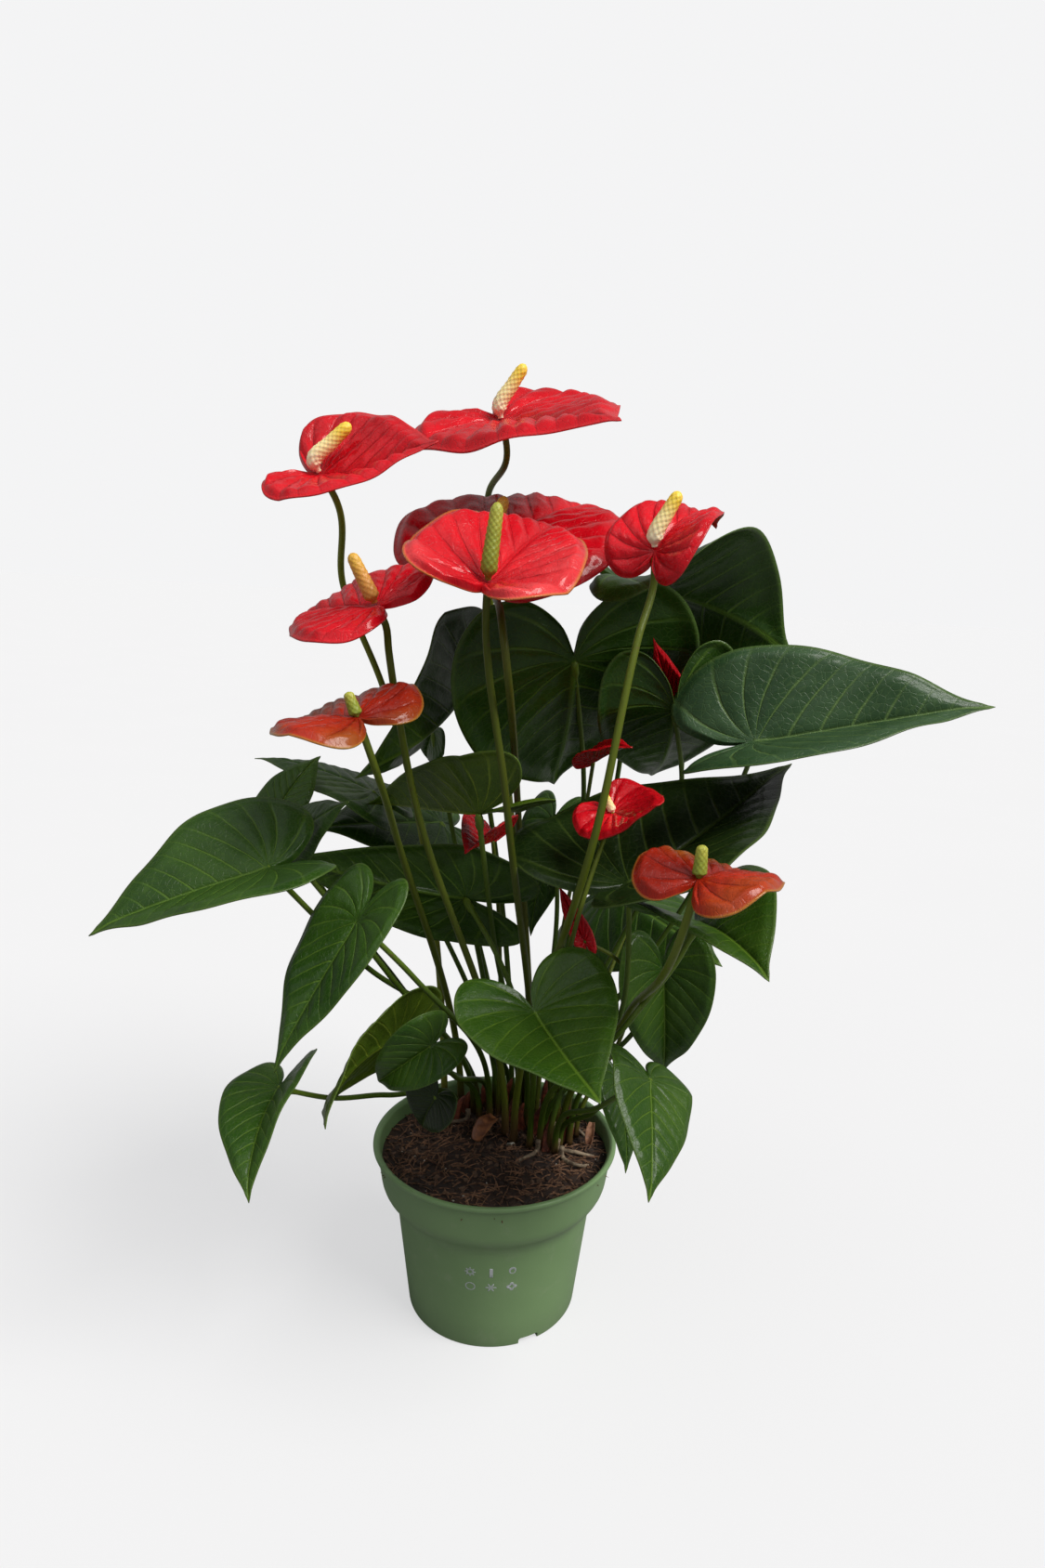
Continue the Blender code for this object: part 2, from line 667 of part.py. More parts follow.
def add_litter():
    """What lies on the mix: a curled dry leaf, a dry sheath beside the crown and a strip of label."""
    for name, place, size, turn, lean, arch, finish in LITTER:
        builder = bmesh.new()
        length, width = size[0] * MM, size[1] * MM
        rows = []
        for k in range(LITTER_ROWS + 1):
            share = k / LITTER_ROWS
            rise = arch * MM * math.sin(math.pi * share)
            half = 0.5 * width * (0.35 + 0.65 * math.sin(math.pi * (0.15 + 0.7 * share)))
            rows.append([builder.verts.new((share * length, side * half, rise)) for side in (-1, 1)])
        for lower, upper in zip(rows, rows[1:]):
            builder.faces.new((lower[0], lower[1], upper[1], upper[0]))
        turned = Matrix.Rotation(math.radians(turn), 4, "Z") @ Matrix.Rotation(math.radians(-lean), 4, "Y")
        foot = Vector((*place, 0)) * MM
        foot.z = MIX_TOP + LITTER_CLEAR
        bmesh.ops.transform(builder, matrix=Matrix.Translation(foot) @ turned, verts=builder.verts)
        piece = add_object(name, builder, finish)
        thickness = piece.modifiers.new("Thickness", "SOLIDIFY")
        thickness.thickness = LITTER_THICKNESS
        thickness.offset = 0


def main():
    for leftover in list(bpy.data.objects):
        bpy.data.objects.remove(leftover)
    add_pot()
    add_potting_mix()
    for leaf in LEAVES:
        add_leaf(leaf)
    for flower in FLOWERS:
        add_flower(flower)
    for flower in SMALL_FLOWERS:
        add_small_flower(flower)
    add_litter()


main()
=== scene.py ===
"""A potted anthurium on a pale floor: glossy leaves, quilted red spathes, a green nursery pot.

The tables LEAVES, FLOWERS and SMALL_FLOWERS place every leaf and flower, in millimetres and degrees.
They repeat the numbers of the solids' own tables, which a fitting program worked out, so a change to
the solids has to be made here too. Each piece is modelled again with a finer surface, with veins,
stalk joints and spadix florets.
"""

import logging
import math
from dataclasses import dataclass, field
from enum import Enum
from typing import Callable

import bpy  # noqa: E402
import numpy as np  # noqa: E402
from mathutils import Matrix, Vector  # noqa: E402

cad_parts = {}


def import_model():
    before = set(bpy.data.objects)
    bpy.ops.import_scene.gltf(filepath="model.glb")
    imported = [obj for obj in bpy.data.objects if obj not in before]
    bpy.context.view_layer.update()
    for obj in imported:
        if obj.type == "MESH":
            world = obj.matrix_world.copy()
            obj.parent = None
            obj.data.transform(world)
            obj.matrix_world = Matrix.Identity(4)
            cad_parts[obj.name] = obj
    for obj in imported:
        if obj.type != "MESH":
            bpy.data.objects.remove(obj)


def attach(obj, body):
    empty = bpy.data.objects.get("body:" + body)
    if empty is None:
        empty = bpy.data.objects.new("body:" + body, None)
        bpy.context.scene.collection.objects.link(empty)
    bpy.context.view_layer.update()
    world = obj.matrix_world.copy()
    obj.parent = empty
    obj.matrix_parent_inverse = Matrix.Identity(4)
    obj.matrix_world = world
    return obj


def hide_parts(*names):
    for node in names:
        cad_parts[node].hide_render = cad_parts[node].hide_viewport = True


LOG = logging.getLogger("anthurium")
MM = 0.001
MIX_TOP = 123 * MM
GAP = 0.4 * MM
BLADE_THICKNESS = 1.0 * MM
TAU = 2 * math.pi

Array = np.ndarray
Place = Callable[[Array, Array], Array]
Socket = bpy.types.NodeSocket
Piece = bpy.types.Object


class Form(Enum):
    """The two kinds of blade, which differ in outline, veins and relief."""

    LEAF = "leaf"
    SPATHE = "spathe"


@dataclass(frozen=True)
class Habit:
    """How one kind of blade grows, in shares of its length."""

    half: tuple
    slope: float
    curl: float
    pitch: float
    fan: float
    quilting: float
    ripple: float
    rim_roll: float
    thickness: float


HABITS = {
    Form.LEAF: Habit(
        half=(
            (0, 1), (0.022, 0.955), (0.07, 0.87), (0.24, 0.65), (0.42, 0.36), (0.5, 0.06), (0.46, -0.17),
            (0.34, -0.32), (0.18, -0.32), (0.05, -0.19), (0, -0.04),
        ),
        slope=0.55, curl=0.9, pitch=0.135, fan=0.42, quilting=0.010, ripple=0.010, rim_roll=-0.02,
        thickness=0.55 * MM,
    ),
    Form.SPATHE: Habit(
        half=(
            (0, 1), (0.02, 0.965), (0.06, 0.90), (0.24, 0.70), (0.42, 0.40), (0.5, 0.10), (0.44, -0.14),
            (0.30, -0.25), (0.15, -0.24), (0.04, -0.14), (0, -0.04),
        ),
        slope=1.15, curl=0.9, pitch=0.17, fan=0.40, quilting=0.024, ripple=0.012, rim_roll=-0.035,
        thickness=0.7 * MM,
    ),
}  # fmt: skip


# ---------------------------------------------------------------------------------------------
# Meshes: a primitive grid is wrapped over a formula, and its seams are merged.


@dataclass
class Wrap:
    """What a grid is wrapped into; u and v run from 0 to 1 over the grid."""

    columns: int
    rows: int
    place: Place
    plan: Place | None = None
    marks: dict = field(default_factory=dict)

    def build(self, name: str, outward: bool = True) -> Piece:
        """Adds the grid, moves its points into place, and merges the seams.

        Args:
            name: The piece's name.
            outward: Whether to turn the faces of a closed shape outward.

        Returns:
            The piece, at the origin, with its UV map "Plan" and one attribute for each mark.
        """
        bpy.ops.object.select_all(action="DESELECT")
        bpy.ops.mesh.primitive_grid_add(
            x_subdivisions=self.columns, y_subdivisions=self.rows, size=1, location=(0, 0, 0)
        )
        piece = bpy.context.active_object
        piece.name = piece.data.name = name
        mesh = piece.data
        flat = np.empty(len(mesh.vertices) * 3)
        mesh.vertices.foreach_get("co", flat)
        flat = flat.reshape(-1, 3)
        u = np.round((flat[:, 0] + 0.5) * self.columns) / self.columns
        v = np.round((flat[:, 1] + 0.5) * self.rows) / self.rows
        corners = np.empty(len(mesh.loops), int)
        mesh.loops.foreach_get("vertex_index", corners)
        layer = mesh.uv_layers.active
        layer.name = "Plan"
        plan = np.stack([u, v], 1) if self.plan is None else self.plan(u, v)
        layer.data.foreach_set("uv", plan[corners].ravel())
        for key, values in self.marks.items():
            mark = mesh.attributes.new(key, "FLOAT", "POINT")
            mark.data.foreach_set("value", np.asarray(values(u, v), np.float32))
        mesh.vertices.foreach_set("co", self.place(u, v).ravel())
        mesh.update()
        merge_seams(piece, outward)
        return piece


def only(piece: Piece) -> None:
    """Makes the piece the only one selected, and active."""
    bpy.ops.object.select_all(action="DESELECT")
    piece.select_set(True)
    bpy.context.view_layer.objects.active = piece


def merge_seams(piece: Piece, outward: bool) -> None:
    """Merges points that lie together, turns the faces outward if asked, and shades them smooth."""
    only(piece)
    bpy.ops.object.mode_set(mode="EDIT")
    bpy.ops.mesh.select_all(action="SELECT")
    bpy.ops.mesh.remove_doubles(threshold=0.00001)
    if outward:
        bpy.ops.mesh.normals_make_consistent(inside=False)
    bpy.ops.object.mode_set(mode="OBJECT")
    bpy.ops.object.shade_smooth()


def face_along(sheet: Piece, direction: tuple | Array) -> None:
    """Turns a sheet's faces over if they point away from the direction."""
    facing = sum((Vector(p.normal) * p.area for p in sheet.data.polygons), Vector())
    if facing.dot(Vector(direction)) < 0:
        only(sheet)
        bpy.ops.object.mode_set(mode="EDIT")
        bpy.ops.mesh.select_all(action="SELECT")
        bpy.ops.mesh.flip_normals()
        bpy.ops.object.mode_set(mode="OBJECT")


def apply_all(piece: Piece) -> None:
    """Applies the piece's modifiers in order."""
    only(piece)
    for modifier in list(piece.modifiers):
        bpy.ops.object.modifier_apply(modifier=modifier.name)


def thicken(piece: Piece, thickness: float, offset: float = -1.0, under: int = 0) -> None:
    """Gives a sheet its thickness, its underside in the material slot that comes under places later."""
    solid = piece.modifiers.new("Thickness", "SOLIDIFY")
    solid.thickness = thickness
    solid.offset = offset
    solid.material_offset = under
    apply_all(piece)


def dress(piece: Piece, slot: str, materials: tuple, *nodes: str) -> Piece:
    """Gives a piece its materials and ties it to the plant.

    Args:
        piece: The finished mesh.
        slot: The record's finish that it takes; not used.
        materials: Its materials, in the order of its slots.
        *nodes: The solids that it stands for.

    Returns:
        The same piece.
    """
    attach(piece, "root")
    if nodes:
        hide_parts(*nodes)
    for material in materials:
        piece.data.materials.append(material)
    return piece


def soft_step(values: Array, low: float, high: float) -> Array:
    """Returns 0 below low and 1 above high, with a smooth change between."""
    share = np.clip((values - low) / (high - low), 0, 1)
    return share * share * (3 - 2 * share)


def smooth_half(half: tuple) -> Array:
    """Returns a half outline rounded between its points, as 400 even steps from tip to notch."""
    points = np.array(half, float)
    ends = np.vstack([2 * points[0] - points[1], points, 2 * points[-1] - points[-2]])
    t = np.linspace(0, 1, 24, endpoint=False)[:, None]
    dense = [
        0.5 * (2 * b + (c - a) * t + (2 * a - 5 * b + 4 * c - d) * t**2 + (3 * b - a - 3 * c + d) * t**3)
        for a, b, c, d in zip(ends, ends[1:], ends[2:], ends[3:])
    ]
    curve = np.vstack(dense + [points[-1:]])
    curve[:, 0] = np.maximum(curve[:, 0], 0)
    run = np.concatenate([[0], np.cumsum(np.linalg.norm(np.diff(curve, axis=0), axis=1))])
    even = np.linspace(0, run[-1], 400)
    return np.stack([np.interp(even, run, curve[:, k]) for k in (0, 1)], 1)


HALVES = {form: smooth_half(habit.half) for form, habit in HABITS.items()}


def flat_points(form: Form, turn: Array, share: Array) -> Array:
    """Returns places on the flat blade.

    Args:
        form: The kind of blade.
        turn: From 0 at the notch up the left side, 0.5 at the tip, to 1 back at the notch.
        share: 0 at the hub and 1 on the margin.

    Returns:
        (n, 2) places across and along, in shares of the blade's length.
    """
    half = HALVES[form]
    index = (1 - np.abs(1 - 2 * turn)) * (len(half) - 1)
    index = (len(half) - 1) - index
    across = np.interp(index, np.arange(len(half)), half[:, 0]) * np.where(turn < 0.5, -1, 1)
    along = np.interp(index, np.arange(len(half)), half[:, 1])
    return np.stack([across, along], 1) * share[:, None]


def vein_phase(form: Form, flat: Array) -> Array:
    """Returns a value that is whole on each side vein and runs evenly between them."""
    habit = HABITS[form]
    across = np.abs(flat[:, 0])
    along = flat[:, 1]
    pinnate = (along - habit.slope * across - habit.curl * across**2) / habit.pitch
    angle = np.arctan2(across, along)
    first = np.arctan2(1, habit.slope + habit.curl * across)
    radius = np.hypot(across, along)
    basal = -(angle - first) / habit.fan - 1.1 * radius * soft_step(angle - first, 0, 1.2)
    return np.where(pinnate > 0, pinnate, basal)


@dataclass(frozen=True)
class Blade:
    """Where one blade hangs, in millimetres, and how it is bent, in degrees."""

    hub: tuple
    tip: tuple
    faces: tuple
    width: float
    bend: float
    fold: float
    lift: float
    twist: float = 0.0

    def axes(self) -> tuple:
        """Returns the hub, the distance from hub to tip, and the across, along and up axes."""
        hub = np.array(self.hub, float) * MM
        chord = np.array(self.tip, float) * MM - hub
        length = float(np.linalg.norm(chord))
        along = chord / length
        up = np.array(self.faces, float)
        up -= along * up.dot(along)
        up /= np.linalg.norm(up)
        return hub, length, np.cross(along, up), along, up

    def length(self) -> float:
        """Returns the blade's length along its arched midrib, in metres."""
        half = (math.radians(self.bend) or 0.001) / 2
        return self.axes()[1] * half / math.sin(half)

    def surface(self, flat: Array, relief: Array) -> Array:
        """Returns (n, 3) places of the upper side for places on the flat blade and heights over it."""
        hub, _, x_axis, y_axis, z_axis = self.axes()
        fold = math.radians(self.fold)
        bend = math.radians(self.bend) or 0.001
        across = flat[:, 0] * self.width
        along = flat[:, 1]
        side = across * math.cos(fold)
        raised = (np.sqrt(across**2 + 0.0004) - 0.02) * math.sin(fold)
        raised = raised + self.lift * np.maximum(0, -along) + relief
        twist = math.radians(self.twist) * along
        side, raised = (
            side * np.cos(twist) - raised * np.sin(twist),
            side * np.sin(twist) + raised * np.cos(twist),
        )
        turned = bend * along
        y = np.sin(turned) / bend + raised * np.sin(turned)
        z = -(1 - np.cos(turned)) / bend + raised * np.cos(turned)
        half = bend / 2
        level = math.cos(half) * y - math.sin(half) * z
        height = math.sin(half) * y + math.cos(half) * z
        return hub + self.length() * (
            side[:, None] * x_axis + level[:, None] * y_axis + height[:, None] * z_axis
        )

    def build(self, name: str, form: Form, seed: float, columns: int, rows: int) -> Piece:
        """Models the blade: quilted between its veins, with a rippled margin that rolls a little.

        Args:
            name: The piece's name.
            form: Leaf or spathe.
            seed: Shifts the ripples, so that no two blades match.
            columns: Faces round the outline, an even number.
            rows: Faces from the hub to the margin.

        Returns:
            The blade, its underside in its second material slot.
        """
        habit = HABITS[form]

        def relief(turn: Array, share: Array) -> Array:
            """Returns heights over the plain blade, in shares of its length."""
            flat = flat_points(form, turn, share)
            phase = vein_phase(form, flat)
            radius = np.hypot(flat[:, 0], flat[:, 1])
            pillow = np.abs(np.sin(np.pi * phase)) ** 0.8 * soft_step(np.abs(flat[:, 0]), 0.0, 0.07)
            cross = 0.88 + 0.12 * np.cos(TAU * (radius / 0.11 + 0.3 * np.sin(5 * phase + seed)))
            open_share = soft_step(radius, 0.02, 0.16) * (1 - soft_step(share, 0.82, 1.0))
            rib = -0.012 * np.exp(-((flat[:, 0] / 0.02) ** 2)) * (flat[:, 1] > 0)
            wave = np.sin(TAU * 5 * turn + seed) + 0.6 * np.sin(TAU * 9 * turn + 2.3 * seed)
            return (
                habit.quilting * pillow * cross * open_share
                + rib * soft_step(radius, 0.0, 0.1)
                + habit.ripple * wave * share**3 * soft_step(np.abs(turn - 0.5), 0.0, 0.10)
                + habit.rim_roll * soft_step(share, 0.86, 1.0)
            )

        piece = Wrap(
            columns,
            rows,
            lambda u, v: self.surface(flat_points(form, u, v), relief(u, v)),
            lambda u, v: flat_points(form, u, v),
            {"phase": lambda u, v: vein_phase(form, flat_points(form, u, v)), "share": lambda u, v: v},
        ).build(name, outward=False)
        face_along(piece, self.axes()[4])
        thicken(piece, habit.thickness, under=1)
        return piece


def smooth_route(points: list, step: float) -> Array:
    """Returns a smooth curve through the points, with a point at about every step of its length."""
    points = [np.array(point, float) for point in points]
    spans = [float(np.linalg.norm(end - start)) for start, end in zip(points, points[1:])]
    headings = [(end - start) / span for start, end, span in zip(points, points[1:], spans)]
    tangents = [headings[0]]
    for k in range(1, len(headings)):
        blend = headings[k - 1] * spans[k] + headings[k] * spans[k - 1]
        tangents.append(blend / np.linalg.norm(blend))
    tangents.append(headings[-1])
    route = []
    for k, span in enumerate(spans):
        for t in np.linspace(0, 1, max(1, round(span / step)), endpoint=False):
            route.append(
                points[k] * (2 * t**3 - 3 * t**2 + 1)
                + tangents[k] * span * (t**3 - 2 * t**2 + t)
                + points[k + 1] * (3 * t**2 - 2 * t**3)
                + tangents[k + 1] * span * (t**3 - t**2)
            )
    route.append(points[-1])
    return np.array(route)


def tube(name: str, route: Array, radii: Array, columns: int, relief: Place | None = None) -> Piece:
    """Models a closed tube along a route.

    Args:
        name: The piece's name.
        route: (n, 3) centre points.
        radii: The radius at each of them.
        columns: Faces round.
        relief: Optional factor on the radius, from the share round and the share along.

    Returns:
        The tube, whose attribute "share" runs from its foot to its end.
    """
    tangents = np.gradient(route, axis=0)
    tangents /= np.linalg.norm(tangents, axis=1)[:, None]
    normal = np.cross(tangents[0], (0.3, 0.9, 0.1))
    normals = []
    for tangent in tangents:
        normal = normal - tangent * normal.dot(tangent)
        normal = normal / np.linalg.norm(normal)
        normals.append(normal)
    normals = np.array(normals)
    binormals = np.cross(tangents, normals)
    run = np.concatenate([[0], np.cumsum(np.linalg.norm(np.diff(route, axis=0), axis=1))])
    run /= run[-1]
    rows = len(route) + 1

    def index(v: Array) -> Array:
        """Returns which centre point each row stands round."""
        return np.clip(np.round(v * rows).astype(int) - 1, 0, len(route) - 1)

    def place(u: Array, v: Array) -> Array:
        """Wraps the grid round the route, its end rows drawn in to a point."""
        k = index(v)
        radius = np.where((v < 0.5 / rows) | (v > 1 - 0.5 / rows), 0.0, np.asarray(radii)[k])
        if relief is not None:
            radius = radius * relief(u, run[k])
        ring = np.cos(TAU * u)[:, None] * normals[k] + np.sin(TAU * u)[:, None] * binormals[k]
        return route[k] + radius[:, None] * ring

    marks = {"share": lambda u, v: run[index(v)]}
    if relief is not None:
        marks["floret"] = lambda u, v: relief(u, run[index(v)])
    return Wrap(columns, rows, place, None, marks).build(name)


# ---------------------------------------------------------------------------------------------
# Finishes.


class Graph:
    """A short way to write shader nodes: each method adds one node and returns its output."""

    def __init__(self, tree: bpy.types.NodeTree) -> None:
        """Keeps the node tree to write into."""
        self.tree = tree

    def node(self, kind: str, inputs: dict, **settings: object) -> bpy.types.Node:
        """Adds a node.

        Args:
            kind: The node's type name.
            inputs: Its inputs by name or number; a socket is linked and anything else is a value.
            **settings: Properties of the node.

        Returns:
            The node.
        """
        node = self.tree.nodes.new(kind)
        for key, value in settings.items():
            setattr(node, key, value)
        for key, value in inputs.items():
            if isinstance(value, bpy.types.NodeSocket):
                self.tree.links.new(value, node.inputs[key])
            else:
                node.inputs[key].default_value = value
        return node

    def mark(self, name: str) -> Socket:
        """Returns the piece's attribute of that name."""
        return self.node("ShaderNodeAttribute", {}, attribute_name=name).outputs["Fac"]

    def plan(self) -> Socket:
        """Returns the piece's UV map."""
        return self.node("ShaderNodeUVMap", {}, uv_map="Plan").outputs["UV"]

    def place(self) -> Socket:
        """Returns the place in metres."""
        return self.node("ShaderNodeTexCoord", {}).outputs["Object"]

    def math(self, operation: str, a: object, b: object = 0.0) -> Socket:
        """Returns the result of one sum on two numbers."""
        return self.node("ShaderNodeMath", {0: a, 1: b}, operation=operation).outputs[0]

    def step(self, value: object, low: float, high: float, out: tuple = (0.0, 1.0)) -> Socket:
        """Returns a smooth change from out's first number to its second as value goes from low to high."""
        inputs = {"Value": value, "From Min": low, "From Max": high, "To Min": out[0], "To Max": out[1]}
        return self.node("ShaderNodeMapRange", inputs, interpolation_type="SMOOTHSTEP").outputs[0]

    def blend(self, share: object, first: object, second: object, kind: str = "MIX") -> Socket:
        """Returns a mix of two colours."""
        node = self.node("ShaderNodeMix", {}, data_type="RGBA", blend_type=kind)
        for index, value in ((0, share), (6, first), (7, second)):
            if isinstance(value, bpy.types.NodeSocket):
                self.tree.links.new(value, node.inputs[index])
            else:
                node.inputs[index].default_value = value if index == 0 else (*value, 1.0)
        return node.outputs[2]

    def noise(self, place: Socket, scale: float, detail: float = 3.0, rough: float = 0.5) -> Socket:
        """Returns a soft random pattern around 0.5."""
        inputs = {"Vector": place, "Scale": scale, "Detail": detail, "Roughness": rough}
        return self.node("ShaderNodeTexNoise", inputs).outputs[0]

    def cells(self, place: Socket, scale: float) -> Socket:
        """Returns the distance from the edges of random cells."""
        inputs = {"Vector": place, "Scale": scale}
        return self.node("ShaderNodeTexVoronoi", inputs, feature="DISTANCE_TO_EDGE").outputs[0]

    def bump(self, height: Socket, distance: float, strength: float = 1.0) -> Socket:
        """Returns a normal bent by a height."""
        inputs = {"Height": height, "Distance": distance, "Strength": strength}
        return self.node("ShaderNodeBump", inputs).outputs[0]


def shade(name: str, write: Callable[[Graph], dict], **sockets: object) -> bpy.types.Material:
    """Makes a material with one Principled shader.

    Args:
        name: The material's name.
        write: Adds the nodes and returns what feeds the shader, by input name.
        **sockets: Plain values for other inputs, with _ in place of spaces.

    Returns:
        The material.
    """
    material = bpy.data.materials.new(name)
    material.use_nodes = True
    tree = material.node_tree
    tree.nodes.clear()
    graph = Graph(tree)
    inputs = write(graph)
    inputs.update({key.replace("_", " "): value for key, value in sockets.items()})
    shader = graph.node("ShaderNodeBsdfPrincipled", inputs)
    graph.node("ShaderNodeOutputMaterial", {"Surface": shader.outputs[0]})
    return material


def vein_group() -> bpy.types.NodeTree:
    """Builds the group that draws a blade's veins from its "phase", its plan and its "share".

    Returns:
        The group, with outputs Veins (1 on a vein), Net (1 on the fine net) and Rim (1 on the margin).
    """
    tree = bpy.data.node_groups.new("BladeVeins", "ShaderNodeTree")
    for name in ("Phase", "Share"):
        tree.interface.new_socket(name, in_out="INPUT", socket_type="NodeSocketFloat")
    tree.interface.new_socket("Plan", in_out="INPUT", socket_type="NodeSocketVector")
    for name in ("Veins", "Net", "Rim"):
        tree.interface.new_socket(name, in_out="OUTPUT", socket_type="NodeSocketFloat")
    graph = Graph(tree)
    given = graph.node("NodeGroupInput", {})
    wander = graph.noise(given.outputs["Plan"], 9.0, 2.0)
    phase = graph.math("ADD", given.outputs["Phase"], graph.math("MULTIPLY", wander, 0.10))
    away = graph.math("PINGPONG", graph.math("SUBTRACT", phase, 0.05), 0.5)
    side = graph.step(away, 0.012, 0.085, (1.0, 0.0))
    side = graph.math("MULTIPLY", side, graph.step(given.outputs["Share"], 0.55, 0.98, (1.0, 0.25)))
    parts = graph.node("ShaderNodeSeparateXYZ", {0: given.outputs["Plan"]})
    across = graph.math("ABSOLUTE", parts.outputs[0])
    middle = graph.step(across, 0.004, 0.017, (1.0, 0.0))
    middle = graph.math("MULTIPLY", middle, graph.step(parts.outputs[1], -0.02, 0.01))
    veins = graph.math("MAXIMUM", side, middle)
    net = graph.step(graph.cells(given.outputs["Plan"], 34.0), 0.0, 0.09, (1.0, 0.0))
    rim = graph.step(given.outputs["Share"], 0.955, 0.995)
    graph.node("NodeGroupOutput", {0: veins, 1: net, 2: rim})
    return tree


@dataclass(frozen=True)
class BladeFinish:
    """The colours and gloss of one side of a blade."""

    name: str
    dark: tuple
    light: tuple
    vein: tuple
    rim: tuple
    rough: float
    vein_show: float
    net_show: float
    raised: float
    coat: float = 0.0
    rim_show: float = 0.35
    gloss: float = 0.17
    tint: tuple = ()

    def make(self, group: bpy.types.NodeTree) -> bpy.types.Material:
        """Returns the material: mottled tissue, veins, a fine net and the margin's edge."""

        def write(graph: Graph) -> dict:
            """Writes the nodes."""
            plan = graph.plan()
            veins = graph.node("ShaderNodeGroup", {}, node_tree=group)
            graph.tree.links.new(graph.mark("phase"), veins.inputs["Phase"])
            graph.tree.links.new(graph.mark("share"), veins.inputs["Share"])
            graph.tree.links.new(plan, veins.inputs["Plan"])
            place = graph.place()
            mottle = graph.step(graph.noise(place, 22.0, 4.0, 0.55), 0.32, 0.68)
            colour = graph.blend(mottle, self.dark, self.light)
            if self.tint:
                patch = graph.step(graph.noise(place, 14.0, 2.0), 0.45, 0.7)
                patch = graph.math("MULTIPLY", patch, graph.step(graph.mark("share"), 0.2, 0.9))
                colour = graph.blend(patch, colour, self.tint)
            colour = graph.blend(
                graph.math("MULTIPLY", veins.outputs["Net"], self.net_show), colour, self.vein
            )
            colour = graph.blend(
                graph.math("MULTIPLY", veins.outputs["Veins"], self.vein_show), colour, self.vein
            )
            rim_share = graph.math("MULTIPLY", veins.outputs["Rim"], self.rim_show)
            colour = graph.blend(rim_share, colour, self.rim)
            height = graph.math("MULTIPLY", veins.outputs["Veins"], self.raised)
            height = graph.math(
                "ADD", height, graph.math("MULTIPLY", veins.outputs["Net"], self.raised * 0.22)
            )
            height = graph.math("ADD", height, graph.math("MULTIPLY", graph.noise(place, 420.0, 2.0), 0.12))
            patchy = graph.math("MULTIPLY", graph.noise(place, 60.0), 0.16)
            rough = graph.math("ADD", patchy, self.rough - 0.08)
            return {
                "Base Color": colour,
                "Roughness": rough,
                "Normal": graph.bump(height, 0.0006, 0.8),
            }

        return shade(
            self.name, write, Coat_Weight=self.coat, Coat_Roughness=0.10, Specular_IOR_Level=self.gloss
        )


class Tone(Enum):
    """The shades of green that the leaves have, old and young; the bluish top is a painted reflection of the
    sky on a glossy leaf.
    """

    BLUISH = "bluish"
    DEEP = "deep"
    MID = "mid"
    FRESH = "fresh"
    LIME = "lime"


TOPS = {
    # The bluish top colours are a painted sky reflection on a glossy leaf, not the leaf's own green.
    Tone.BLUISH: ((0.018, 0.048, 0.016), (0.040, 0.084, 0.034)),
    Tone.DEEP: ((0.005, 0.013, 0.002), (0.013, 0.028, 0.005)),
    Tone.MID: ((0.012, 0.040, 0.003), (0.028, 0.072, 0.007)),
    Tone.FRESH: ((0.016, 0.052, 0.003), (0.036, 0.084, 0.007)),
    Tone.LIME: ((0.040, 0.080, 0.004), (0.074, 0.122, 0.008)),
}
UNDERS = {
    Tone.BLUISH: ((0.034, 0.066, 0.010), (0.060, 0.104, 0.016)),
    Tone.DEEP: ((0.028, 0.046, 0.003), (0.050, 0.076, 0.005)),
    Tone.MID: ((0.060, 0.086, 0.004), (0.098, 0.130, 0.007)),
    Tone.FRESH: ((0.078, 0.112, 0.005), (0.120, 0.160, 0.009)),
    Tone.LIME: ((0.110, 0.150, 0.007), (0.160, 0.205, 0.012)),
}


class Colours(Enum):
    """What colour a spathe is."""

    RED = "red"
    ROSE = "rose"
    ORANGE = "orange"


SPATHE_TOPS = {
    Colours.RED: dict(
        dark=(0.45, 0.002, 0.007), light=(0.66, 0.004, 0.013), vein=(0.34, 0.002, 0.006),
        rim=(0.62, 0.02, 0.022),
    ),
    Colours.ROSE: dict(
        dark=(0.52, 0.005, 0.012), light=(0.72, 0.014, 0.022), vein=(0.42, 0.005, 0.010),
        rim=(0.42, 0.26, 0.04), tint=(0.74, 0.060, 0.065),
    ),
    Colours.ORANGE: dict(
        dark=(0.20, 0.008, 0.003), light=(0.40, 0.022, 0.006), vein=(0.22, 0.010, 0.005),
        rim=(0.42, 0.24, 0.03), tint=(0.30, 0.11, 0.014),
    ),
}  # fmt: skip


